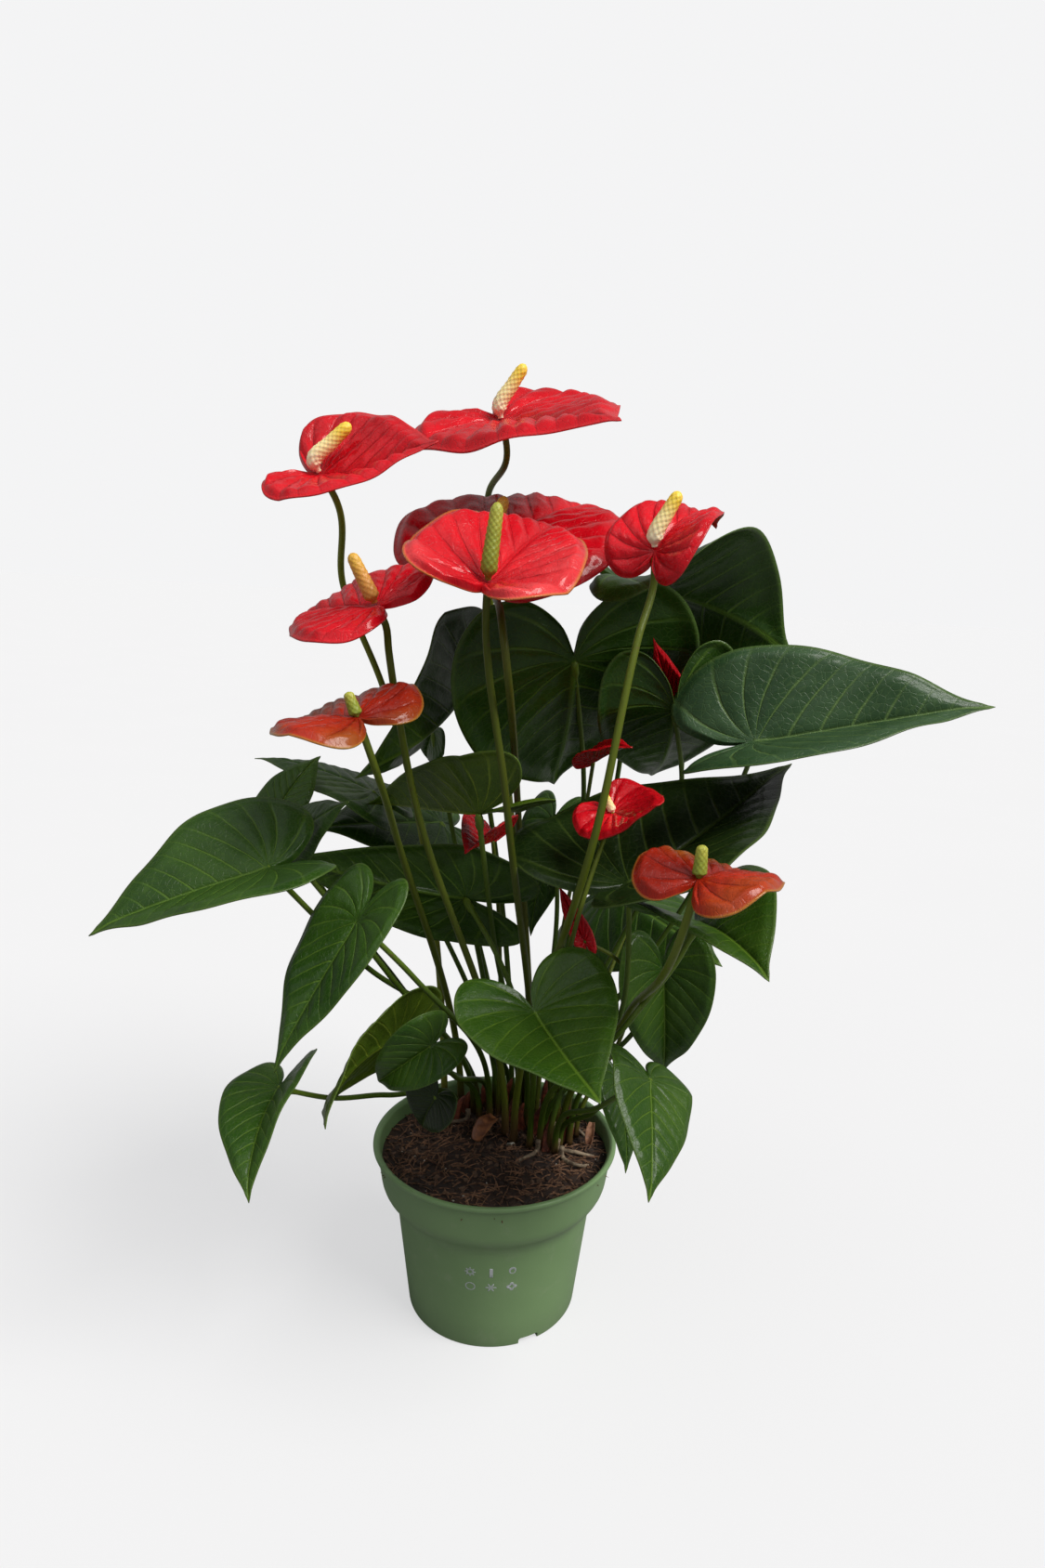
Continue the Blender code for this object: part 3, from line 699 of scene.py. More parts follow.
@dataclass
class Palette:
    """Makes each finish once and hands it out."""

    made: dict = field(default_factory=dict)

    def veins(self) -> bpy.types.NodeTree:
        """Returns the group that draws veins."""
        if "veins" not in self.made:
            self.made["veins"] = vein_group()
        return self.made["veins"]

    def leaf(self, tone: Tone) -> tuple:
        """Returns the upper and lower finish of a leaf of that tone."""
        if tone not in self.made:
            dark, light = TOPS[tone]
            pale = (2.0 * light[0] + 0.030, 1.7 * light[1] + 0.040, 1.2 * light[2] + 0.008)
            top = BladeFinish(
                f"leaf_{tone.value}_top", dark, light, pale, (0.10, 0.16, 0.03), rough=0.35, vein_show=0.65,
                net_show=0.14, raised=-0.9, coat=0.10,
            )  # fmt: skip
            dark, light = UNDERS[tone]
            pale = (1.5 * light[0] + 0.050, 1.5 * light[1] + 0.060, 1.5 * light[2] + 0.010)
            under = BladeFinish(
                f"leaf_{tone.value}_under", dark, light, pale, (0.12, 0.17, 0.03), rough=0.6, vein_show=0.8,
                net_show=0.18, raised=1.0, gloss=0.10,
            )  # fmt: skip
            self.made[tone] = (top.make(self.veins()), under.make(self.veins()))
        return self.made[tone]

    def spathe(self, colour: Colours) -> tuple:
        """Returns the upper and lower finish of a spathe of that colour."""
        if colour not in self.made:
            top = BladeFinish(
                f"spathe_{colour.value}_top", **SPATHE_TOPS[colour], rough=0.27, vein_show=0.45,
                net_show=0.06, raised=-1.0, coat=0.26, rim_show=0.5, gloss=0.14,
            )  # fmt: skip
            under = BladeFinish(
                f"spathe_{colour.value}_under", dark=(0.36, 0.012, 0.014), light=(0.52, 0.035, 0.030),
                vein=(0.56, 0.09, 0.05), rim=(0.50, 0.12, 0.05), rough=0.5, vein_show=0.6, net_show=0.1,
                raised=0.9, gloss=0.12,
            )  # fmt: skip
            self.made[colour] = (top.make(self.veins()), under.make(self.veins()))
        return self.made[colour]

    def stalk(self, name: str, foot: tuple, middle: tuple, top: tuple) -> bpy.types.Material:
        """Returns a stalk's finish, which changes from foot to top, with fine streaks along it."""
        if name not in self.made:

            def write(graph: Graph) -> dict:
                """Writes the nodes."""
                share = graph.mark("share")
                place = graph.place()
                colour = graph.blend(graph.step(share, 0.01, 0.10), foot, middle)
                colour = graph.blend(graph.step(share, 0.6, 1.0), colour, top)
                stretch = graph.node("ShaderNodeMapping", {"Vector": place, "Scale": (1.0, 1.0, 0.12)})
                streak = graph.noise(stretch.outputs[0], 900.0, 3.0, 0.6)
                shadow = tuple(0.55 * value for value in middle)
                colour = graph.blend(graph.step(streak, 0.52, 0.75, (0.0, 0.45)), colour, shadow)
                fleck = graph.step(graph.noise(place, 300.0, 2.0), 0.66, 0.74, (0.0, 0.5))
                colour = graph.blend(fleck, colour, (0.12, 0.07, 0.03))
                return {
                    "Base Color": colour,
                    "Roughness": graph.step(streak, 0.3, 0.7, (0.32, 0.48)),
                    "Normal": graph.bump(streak, 0.0002, 0.7),
                }

            self.made[name] = shade(name, write, Specular_IOR_Level=0.2)
        return self.made[name]

    def spadix(self, name: str, foot: tuple, middle: tuple, tip: tuple, dots: tuple) -> bpy.types.Material:
        """Returns a spadix's finish: its florets are lighter than the gaps between them."""
        if name not in self.made:

            def write(graph: Graph) -> dict:
                """Writes the nodes."""
                share = graph.mark("share")
                colour = graph.blend(graph.step(share, 0.05, 0.45), foot, middle)
                colour = graph.blend(graph.step(share, 0.45, 0.85), colour, tip)
                floret = graph.step(graph.mark("floret"), 0.93, 1.07)
                gap = graph.math("SUBTRACT", 0.24, graph.math("MULTIPLY", floret, 0.24))
                colour = graph.blend(gap, colour, dots)
                place = graph.place()
                grain = graph.noise(place, 1500.0, 2.0)
                return {
                    "Base Color": graph.blend(0.25, colour, grain, "OVERLAY"),
                    "Roughness": graph.step(grain, 0.3, 0.7, (0.42, 0.6)),
                    "Normal": graph.bump(grain, 0.0002, 0.6),
                }

            self.made[name] = shade(
                name, write, Subsurface_Weight=0.15, Subsurface_Radius=(0.004, 0.002, 0.001)
            )
        return self.made[name]

    def rough_stuff(
        self, name: str, dark: tuple, light: tuple, scale: float, rough: float = 0.9, bump: float = 0.0006
    ) -> bpy.types.Material:
        """Returns a matt finish of two mottled colours, for mix, bark, roots and dry leaves."""
        if name not in self.made:

            def write(graph: Graph) -> dict:
                """Writes the nodes."""
                place = graph.place()
                fine = graph.noise(place, scale, 6.0, 0.65)
                wide = graph.noise(place, scale / 7, 3.0, 0.5)
                mix = graph.math("ADD", graph.math("MULTIPLY", fine, 0.6), graph.math("MULTIPLY", wide, 0.4))
                return {
                    "Base Color": graph.blend(graph.step(mix, 0.40, 0.62), dark, light),
                    "Roughness": graph.step(fine, 0.3, 0.7, (rough - 0.1, min(1.0, rough + 0.05))),
                    "Normal": graph.bump(fine, bump, 1.0),
                }

            self.made[name] = shade(name, write)
        return self.made[name]

    def pot(self) -> bpy.types.Material:
        """Returns the pot's finish: soft green moulded plastic with a faint grain, dust, and painted shade
        darkening its foot.
        """
        if "pot" not in self.made:

            def write(graph: Graph) -> dict:
                """Writes the nodes."""
                place = graph.place()
                wide = graph.noise(place, 9.0, 4.0, 0.6)
                grain = graph.noise(place, 1300.0, 2.0, 0.5)
                dust = graph.step(graph.noise(place, 55.0, 5.0, 0.7), 0.52, 0.78, (0.0, 0.30))
                colour = graph.blend(graph.step(wide, 0.3, 0.7), (0.124, 0.214, 0.084), (0.150, 0.246, 0.104))
                colour = graph.blend(dust, colour, (0.24, 0.29, 0.19))
                low = graph.node("ShaderNodeSeparateXYZ", {0: place}).outputs[2]
                # Painted shade: the lowest 3 cm of the wall are blended towards a deeper green, where the pot
                # stands on the floor.
                colour = graph.blend(graph.step(low, 0.0, 0.03, (0.25, 0.0)), colour, (0.07, 0.10, 0.05))
                return {
                    "Base Color": colour,
                    "Roughness": graph.step(wide, 0.3, 0.7, (0.42, 0.54)),
                    "Normal": graph.bump(grain, 0.00012, 0.5),
                }

            self.made["pot"] = shade("pot_plastic", write)
        return self.made["pot"]


# ---------------------------------------------------------------------------------------------
# The plant's pieces.

LEAF_STALK = 2.1 * MM
FLOWER_STALK = 2.5 * MM
FOOT_RISE = 7 * MM
STALK_STEP = 3.0 * MM


def stalk_route(foot: tuple, via: tuple, ends: list) -> Array:
    """Returns a stalk's centre line from the mix, through its via points, to its end points.

    Args:
        foot: Where it leaves the mix, in millimetres.
        via: Points that it passes, in millimetres.
        ends: Its last points, in metres.

    Returns:
        (n, 3) points.
    """
    start = np.array((*foot, 0.0)) * MM + (0, 0, MIX_TOP + GAP)
    points = [start, start + (0, 0, FOOT_RISE)] + [np.array(point, float) * MM for point in via] + ends
    return smooth_route(points, STALK_STEP)


def stalk_radii(route: Array, radius: float, knee: float) -> Array:
    """Returns a stalk's radii: a thicker foot, a slow taper, and a swollen knee below the blade."""
    run = np.concatenate([[0], np.cumsum(np.linalg.norm(np.diff(route, axis=0), axis=1))])
    left = run[-1] - run
    taper = 1 - 0.25 * run / run[-1]
    foot = 0.35 * np.exp(-run / (9 * MM))
    swelling = knee * soft_step(left, 1 * MM, 3 * MM) * (1 - soft_step(left, 9 * MM, 13 * MM))
    return radius * (taper + foot + swelling)


@dataclass
class Leaf:
    """One leaf: its blade and its stalk grew as one piece."""

    name: str
    blade: Blade
    foot: tuple
    via: tuple
    tone: Tone = Tone.MID

    def build(self, palette: Palette) -> None:
        """Models and dresses the leaf."""
        seed = sum(map(ord, self.name)) % 17 * 0.9
        blade = self.blade.build(self.name + "_blade", Form.LEAF, seed, 128, 30)
        dress(blade, "leaf", palette.leaf(self.tone), self.name)
        hub, _, _, _, up = self.blade.axes()
        route = stalk_route(self.foot, self.via, [hub - up * 0.3 * MM])
        stalk = tube(self.name + "_stalk", route, stalk_radii(route, LEAF_STALK, 0.45), 16)
        greens = ((0.070, 0.040, 0.014), (0.044, 0.082, 0.006), (0.095, 0.150, 0.014))
        finish = palette.stalk("leaf_stalk", *greens)
        dress(stalk, "leaf", (finish,), self.name)


@dataclass
class Flower:
    """A flower: stem, spathe and spadix."""

    name: str
    blade: Blade
    foot: tuple
    via: tuple
    spadix: tuple = ()
    colour: Colours = Colours.RED
    cream: bool = False
    green: bool = False
    radius: float = 4.2 * MM
    stem_tint: tuple = (0.080, 0.105, 0.009)

    def spadix_finish(self, palette: Palette) -> bpy.types.Material:
        """Returns the finish of the spadix: green when old, cream when young, yellow at its end."""
        if self.green:
            return palette.spadix(
                "spadix_green", (0.20, 0.25, 0.020), (0.26, 0.30, 0.022), (0.42, 0.42, 0.05),
                (0.06, 0.085, 0.008),
            )
        if self.cream:
            return palette.spadix(
                "spadix_cream", (0.92, 0.82, 0.60), (0.90, 0.74, 0.34), (0.86, 0.60, 0.02), (0.84, 0.66, 0.34)
            )
        return palette.spadix(
            "spadix_yellow", (0.52, 0.20, 0.03), (0.55, 0.22, 0.025), (0.66, 0.36, 0.03), (0.78, 0.44, 0.12)
        )

    def build_spadix(self, name: str, slot: str, palette: Palette, node: str) -> None:
        """Models the spadix: spirals of small florets on a tapered, round-ended core."""
        hub, _, _, _, up = self.blade.axes()
        reach = np.array(self.spadix, float) * MM
        rise = 2 * GAP + 1.5 * 1.5 * MM * math.tan(abs(math.radians(self.blade.fold)))
        foot = hub + up * rise
        points = [foot, foot + up * 4 * MM, foot + up * 3 * MM + reach / 2, foot + reach]
        if self.radius < 4 * MM:
            points = [hub - 0.5 * MM * up, hub + 0.5 * reach, hub + 0.8 * reach, hub + reach]
        route = smooth_route(points, 0.45 * MM)
        run = np.linspace(0, 1, len(route))
        ends = np.sqrt(np.clip(1 - ((run - 0.86) / 0.14).clip(0) ** 2, 0.004, 1))
        neck = 0.36 + 0.64 * soft_step(run, 0.02, 0.16)
        radii = self.radius * (1 - 0.30 * run) * ends * neck
        length = float(np.linalg.norm(np.diff(route, axis=0), axis=1).sum())
        turns = round(length / (1.5 * MM))

        def florets(u: Array, v: Array) -> Array:
            """Returns small bumps where two sets of spirals cross."""
            first = np.cos(TAU * (7 * u + turns * v / 2))
            second = np.cos(TAU * (7 * u - turns * v / 2))
            return 1 + 0.026 * (first + second) * soft_step(v, 0.04, 0.12)

        piece = tube(name, route, radii, 70, florets)
        dress(piece, slot, (self.spadix_finish(palette),), node)

    def stem_finish(self, palette: Palette) -> bpy.types.Material:
        """Returns the stem's finish in this flower's green."""
        key = "stem_" + "_".join(str(round(1000 * value)) for value in self.stem_tint)
        top = tuple(1.2 * value for value in self.stem_tint)
        return palette.stalk(key, (0.075, 0.040, 0.016), self.stem_tint, top)

    def build(self, palette: Palette) -> None:
        """Models and dresses the flower's three pieces."""
        seed = sum(map(ord, self.name)) % 13 * 1.1
        spathe = self.blade.build("spathe_" + self.name + "_skin", Form.SPATHE, seed, 168, 42)
        slot = "spathe_orange" if self.colour is Colours.ORANGE else "spathe_red"
        dress(spathe, slot, palette.spathe(self.colour), "spathe_" + self.name)
        hub, _, _, _, up = self.blade.axes()
        droop = max(math.tan(math.radians(0.5 * self.blade.bend)), 0.0) + max(-self.blade.lift, 0.0)
        under = hub - up * (BLADE_THICKNESS + GAP + FLOWER_STALK * droop)
        route = stalk_route(self.foot, self.via, [under - up * 9 * MM, under + up * 0.6 * MM])
        stem = tube("stem_" + self.name + "_skin", route, stalk_radii(route, FLOWER_STALK, 0.0), 18)
        dress(stem, "stem", (self.stem_finish(palette),), "stem_" + self.name)
        slot = "spadix_green" if self.green or self.colour is Colours.ORANGE else "spadix_yellow"
        self.build_spadix("spadix_" + self.name + "_skin", slot, palette, "spadix_" + self.name)

    def build_small(self, palette: Palette) -> None:
        """Models and dresses a small flower or bud, which is one solid."""
        seed = sum(map(ord, self.name)) % 13 * 1.1
        spathe = self.blade.build(self.name + "_spathe", Form.SPATHE, seed, 120, 28)
        dress(spathe, "spathe_red", palette.spathe(self.colour), self.name)
        hub, _, _, _, up = self.blade.axes()
        route = stalk_route(self.foot, self.via, [hub - up * 0.5 * MM])
        stem = tube(self.name + "_stem", route, stalk_radii(route, 0.8 * LEAF_STALK, 0.0), 16)
        dress(stem, "spathe_red", (self.stem_finish(palette),), self.name)
        if self.spadix:
            self.build_spadix(self.name + "_spadix", "spathe_red", palette, self.name)


@dataclass
class Pot:
    """The tapered nursery pot, with a deep collar, a lip bead, foot notches and drain holes."""

    segments: int = 192
    foot_radius: float = 61.7 * MM
    body_radius: float = 69.5 * MM
    body_height: float = 90 * MM
    drain_holes: int = 6
    drain_circle: float = 36 * MM
    drain_radius: float = 4.5 * MM
    notches: int = 3
    notch_first: float = -60.0
    notch_circle: float = 58 * MM
    sign_size: float = 3.9 * MM

    def profile(self) -> Array:
        """Returns the wall's section, from the middle of the underside round to the middle of the floor."""
        corners = [
            (0, 0, 0), (22, 0, 0.8), (25.5, 3.5, 1.5), (49.2, 3.5, 1.5), (52.7, 0, 0.8), (61.7, 0, 1.2),
            (69.5, 90, 7.0), (79, 101, 6.5), (82.0, 130, 0.7), (84.2, 130.2, 0.9), (85, 131.6, 1.2),
            (84.6, 133.7, 1.0), (82.2, 134, 0.8), (80.0, 132, 1.5), (77.2, 101, 3.0), (67.7, 90, 3.0),
            (60.4, 7, 2.0), (0, 7, 0),
        ]  # fmt: skip
        section = []
        for k, (x, z, radius) in enumerate(corners):
            here = np.array((x, z), float)
            if radius == 0:
                section.append(here)
                continue
            back = np.array(corners[k - 1][:2], float) - here
            ahead = np.array(corners[k + 1][:2], float) - here
            start = here + back * min(0.45, radius / np.linalg.norm(back))
            end = here + ahead * min(0.45, radius / np.linalg.norm(ahead))
            for t in np.linspace(0, 1, 6):
                section.append((1 - t) ** 2 * start + 2 * t * (1 - t) * here + t * t * end)
        dense = []
        for start, end in zip(section, section[1:]):
            steps = max(1, int(np.linalg.norm(end - start) / 8))
            dense += [start + (end - start) * k / steps for k in range(steps)]
        return np.array(dense + [section[-1]]) * MM

    def cutter(self, kind: str, place: tuple, turn: float, size: tuple) -> Piece:
        """Adds a rounded cutter for a drain hole or a foot notch."""
        bpy.ops.object.select_all(action="DESELECT")
        if kind == "hole":
            bpy.ops.mesh.primitive_cylinder_add(vertices=40, radius=size[0], depth=size[2], location=place)
        else:
            bpy.ops.mesh.primitive_cube_add(size=1, location=place, rotation=(0, 0, turn))
            bpy.context.active_object.scale = size
            bpy.ops.object.transform_apply(location=True, rotation=True, scale=True)
            bevel = bpy.context.active_object.modifiers.new("Bevel", "BEVEL")
            bevel.width = 1.6 * MM
            bevel.segments = 4
            apply_all(bpy.context.active_object)
        return bpy.context.active_object

    def build(self, palette: Palette) -> None:
        """Models the shell, cuts its holes and notches, and adds the raised care signs."""
        section = self.profile()
        rows = len(section) - 1

        def place(u: Array, v: Array) -> Array:
            """Spins the section round the pot's axis."""
            k = np.round(v * rows).astype(int)
            radius = section[k, 0]
            return np.stack([radius * np.cos(TAU * u), radius * np.sin(TAU * u), section[k, 1]], 1)

        shell = Wrap(self.segments, rows, place).build("pot_shell")
        cutters = []
        for k in range(self.drain_holes):
            angle = TAU * (k + 0.5) / self.drain_holes
            spot = (self.drain_circle * math.cos(angle), self.drain_circle * math.sin(angle), 3.5 * MM)
            cutters.append(self.cutter("hole", spot, 0.0, (self.drain_radius, 0, 14 * MM)))
        for k in range(self.notches):
            angle = math.radians(self.notch_first) + TAU * k / self.notches
            spot = (self.notch_circle * math.cos(angle), self.notch_circle * math.sin(angle), 0.0)
            cutters.append(self.cutter("notch", spot, angle, (16 * MM, 15 * MM, 10 * MM)))
        for cutter in cutters:
            cut = shell.modifiers.new("Cut", "BOOLEAN")
            cut.object = cutter
            cut.operation = "DIFFERENCE"
            cut.solver = "EXACT"
        apply_all(shell)
        for cutter in cutters:
            bpy.data.objects.remove(cutter, do_unlink=True)
        bpy.ops.object.shade_smooth_by_angle(angle=math.radians(35))
        dress(shell, "pot", (palette.pot(),), "pot")
        self.build_signs(palette)

    def build_signs(self, palette: Palette) -> None:
        """Adds two faint rows of plain care signs, printed as thin raised shapes on the front."""
        ink = palette.rough_stuff("sign_ink", (0.26, 0.30, 0.28), (0.40, 0.42, 0.44), 300.0, 0.6, 0.00005)

        def bar(a: Array) -> Array:
            """Returns the outline of an upright bar."""
            across, up = np.abs(np.cos(a)), np.abs(np.sin(a))
            return np.minimum(0.3 / np.maximum(across, 0.05), 1 / np.maximum(up, 0.05))

        signs = (
            (lambda a: 0.66 + 0.34 * (np.cos(8 * a) > 0.2), 0.5),
            (bar, 0.0),
            (lambda a: 0.56 / np.maximum(0.5, 1 - 0.5 * np.sin(a)), 0.6),
            (lambda a: 0.9 + 0.0 * a, 0.78),
            (lambda a: 0.28 + 0.72 * np.abs(np.cos(3 * a)) ** 3, 0.0),
            (lambda a: 0.52 + 0.42 * np.abs(np.cos(2 * a)), 0.45),
        )
        for k, (outline, hollow) in enumerate(signs):
            row, column = divmod(k, 3)
            middle_angle = math.radians(-86 + 12 * (column - 1))
            middle_z = (70 - 13 * row) * MM

            def place(
                u: Array, v: Array, outline=outline, angle=middle_angle, z=middle_z, hollow=hollow
            ) -> Array:
                """Lays a flat sign on the wall."""
                turn = TAU * u
                reach = self.sign_size * outline(turn) * (hollow + (1 - hollow) * v)
                height = z + reach * np.sin(turn)
                wall = np.interp(height, (0, self.body_height), (self.foot_radius, self.body_radius))
                radius = wall + 0.06 * MM
                around = angle + reach * np.cos(turn) / radius
                return np.stack([radius * np.cos(around), radius * np.sin(around), height], 1)

            sign = Wrap(64, 4, place).build(f"care_sign_{k + 1}", outward=False)
            face_along(sign, (math.cos(middle_angle), math.sin(middle_angle), 0))
            thicken(sign, 0.05 * MM)
            dress(sign, "pot", (ink,))


@dataclass
class Mix:
    """The dark potting mix, with bark chips, fibres, grains of perlite and roots on it."""

    radius: float = 79.5 * MM
    chips: int = 1100
    fibres: int = 900
    seed: int = 11

    def height(self, x: Array, y: Array) -> Array:
        """Returns the mix's uneven surface."""
        r = np.hypot(x, y)
        waves = np.zeros_like(x)
        rng = np.random.default_rng(self.seed)
        for scale, size in ((45, 1.1), (110, 0.8), (260, 0.55), (520, 0.35)):
            for _ in range(6):
                angle, shift = rng.uniform(0, TAU, 2)
                along = scale * (x * math.cos(angle) + y * math.sin(angle))
                waves += size * np.sin(along * rng.uniform(0.7, 1.4) + shift) / 3
        bank = 1 - soft_step(r, 0.6 * self.radius, self.radius)
        return MIX_TOP - 1.6 * MM + waves * 0.75 * MM + 1.2 * MM * bank

    def scatter(
        self, name: str, template: Piece, count: int, rng: np.random.Generator, pick: Callable
    ) -> Piece:
        """Copies a small template over the mix into one mesh, and removes the template.

        Args:
            name: The new piece's name.
            template: The shape to copy, 1 m across, at the origin.
            count: How many copies.
            rng: The seeded random draws.
            pick: Gives each copy's (length, width, depth) and lift.

        Returns:
            The new piece.
        """
        shape = np.array([tuple(v.co) for v in template.data.vertices])
        faces = [tuple(p.vertices) for p in template.data.polygons]
        points, polygons = [], []
        for k in range(count):
            r = self.radius * 0.97 * math.sqrt(rng.uniform(0, 1))
            angle = rng.uniform(0, TAU)
            x, y = r * math.cos(angle), r * math.sin(angle)
            size, lift, tilt = pick(rng)
            turn = Matrix.Rotation(rng.uniform(0, TAU), 3, "Z")
            turn = turn @ Matrix.Rotation(rng.uniform(-tilt, tilt), 3, "Y")
            turn = np.array(turn @ Matrix.Rotation(rng.uniform(-tilt, tilt), 3, "X"))
            wobble = 1 + rng.uniform(-0.22, 0.22, shape.shape)
            z = float(self.height(np.array([x]), np.array([y]))[0]) + lift
            points.append((shape * wobble * size) @ turn.T + (x, y, z))
            polygons += [tuple(index + k * len(shape) for index in face) for face in faces]
        mesh = bpy.data.meshes.new(name)
        mesh.from_pydata(np.vstack(points).tolist(), [], polygons)
        piece = bpy.data.objects.new(name, mesh)
        bpy.context.collection.objects.link(piece)
        bpy.data.objects.remove(template, do_unlink=True)
        return piece

    def chip(self) -> Piece:
        """Models one rough chip from a cube: a bevelled block with a few faces."""
        bpy.ops.object.select_all(action="DESELECT")
        bpy.ops.mesh.primitive_cube_add(size=1, location=(0, 0, 0))
        chip = bpy.context.active_object
        bevel = chip.modifiers.new("Bevel", "BEVEL")
        bevel.width = 0.16
        bevel.segments = 1
        apply_all(chip)
        return chip

    def strand(self) -> Piece:
        """Models one curved fibre from a subdivided cube, bent along its length."""
        bpy.ops.object.select_all(action="DESELECT")
        bpy.ops.mesh.primitive_cube_add(size=1, location=(0, 0, 0))
        strand = bpy.context.active_object
        bpy.ops.object.mode_set(mode="EDIT")
        bpy.ops.mesh.select_all(action="SELECT")
        bpy.ops.mesh.subdivide(number_cuts=2)
        bpy.ops.object.mode_set(mode="OBJECT")
        for vertex in strand.data.vertices:
            vertex.co.z += 6 * (0.25 - vertex.co.x**2)
        return strand

    def build(self, palette: Palette) -> None:
        """Models the surface and everything that lies on it."""

        def place(u: Array, v: Array) -> Array:
            """Lays the disc, its edge turned down against the wall."""
            r = self.radius * np.minimum(v / 0.94, 1.0)
            x, y = r * np.cos(TAU * u), r * np.sin(TAU * u)
            depth = 8 * MM * np.maximum(0, (v - 0.94) / 0.06)
            return np.stack([x, y, self.height(x, y) - depth], 1)

        ground = Wrap(180, 90, place).build("mix_surface", outward=False)
        face_along(ground, (0, 0, 1))
        thicken(ground, 2 * MM)
        browns = ((0.010, 0.005, 0.003), (0.040, 0.018, 0.010))
        earth = palette.rough_stuff("mix_earth", *browns, 260.0, 0.95, 0.0015)
        dress(ground, "mix", (earth,), "potting_mix")
        rng = np.random.default_rng(self.seed)
        kinds = (
            ("mix_bark_dark", 0.55, (0.012, 0.006, 0.004), (0.040, 0.020, 0.011), (1.6, 5.5)),
            ("mix_bark_light", 0.25, (0.050, 0.026, 0.015), (0.130, 0.075, 0.045), (1.4, 5.0)),
            ("mix_perlite", 0.05, (0.30, 0.27, 0.22), (0.55, 0.52, 0.46), (0.9, 1.8)),
        )
        for name, share, dark, light, span in kinds:

            def pick(rng: np.random.Generator, span=span) -> tuple:
                """Draws a chip's size."""
                length = rng.uniform(*span) * MM
                size = (length, length * rng.uniform(0.4, 0.8), length * rng.uniform(0.25, 0.5))
                return np.array(size), 0.3 * MM, 0.6

            chips = self.scatter(name, self.chip(), int(self.chips * share), rng, pick)
            dress(chips, "mix", (palette.rough_stuff(name, dark, light, 700.0),))

        def pick_fibre(rng: np.random.Generator) -> tuple:
            """Draws a fibre's size."""
            thick = rng.uniform(0.3, 0.75) * MM
            return np.array((rng.uniform(4, 14) * MM, thick, thick * 0.8)), 0.9 * MM, 0.4

        fibres = self.scatter("mix_fibres", self.strand(), self.fibres, rng, pick_fibre)
        straw = palette.rough_stuff("mix_fibre", (0.060, 0.026, 0.012), (0.24, 0.125, 0.068), 500.0)
        dress(fibres, "mix", (straw,))
        self.build_roots(palette)

    def build_roots(self, palette: Palette) -> None:
        """Adds pale roots and dry red-brown sheaths at the crown."""
        bark = palette.rough_stuff("root_skin", (0.10, 0.070, 0.045), (0.26, 0.20, 0.13), 400.0, 0.8)
        husk = palette.rough_stuff("husk_skin", (0.075, 0.014, 0.008), (0.24, 0.060, 0.026), 220.0, 0.6)
        roots = (
            ((47, -8), (60, -20), (66, -12)), ((44, 1), (57, -4), (70, -1)), ((30, -2), (22, -14), (10, -18)),
            ((-24, 34), (-36, 26), (-44, 30)), ((4, 40), (-6, 26), (-4, 14)), ((40, 24), (56, 28), (64, 24)),
        )  # fmt: skip
        for k, spots in enumerate(roots):
            points = [np.array((*spot, 0.0)) * MM for spot in spots]
            for point, lift in zip(points, (3.0, 2.6, -2.0)):
                point[2] = MIX_TOP + lift * MM
            points.insert(0, points[0] + (0, 0, 6 * MM))
            route = smooth_route(points, 1.5 * MM)
            run = np.linspace(0, 1, len(route))
            root = tube(f"root_{k + 1}", route, (1.9 - 0.9 * run) * MM, 12)
            dress(root, "dried", (bark,))
        husks = (
            (-28, 47, 24), (-12, 56, 30), (3, 52, 34), (20, 48, 36), (36, 38, 40), (46, 14, 30),
            (36, 2, 26), (16, 26, 28), (-34, 36, 22), (52, 26, 34), (26, 22, 30), (8, 36, 26),
        )  # fmt: skip
        for k, (x, y, tall) in enumerate(husks):
            lean = np.array((0.18 * math.cos(2.4 * k), 0.18 * math.sin(2.4 * k), 1.0))
            foot = np.array((x * MM, y * MM, MIX_TOP - 2 * MM))
            end = foot + lean * tall * MM + (0.004, -0.002, 0)
            route = smooth_route([foot, foot + lean * tall * 0.5 * MM, end], 1 * MM)
            run = np.linspace(0, 1, len(route))
            radii = (3.8 * (1 - run) ** 0.6 + 0.25) * MM
            leaf = tube(f"husk_{k + 1}", route, radii, 20, lambda u, v: 1 + 0.12 * np.cos(TAU * 5 * u))
            dress(leaf, "dried", (husk,))


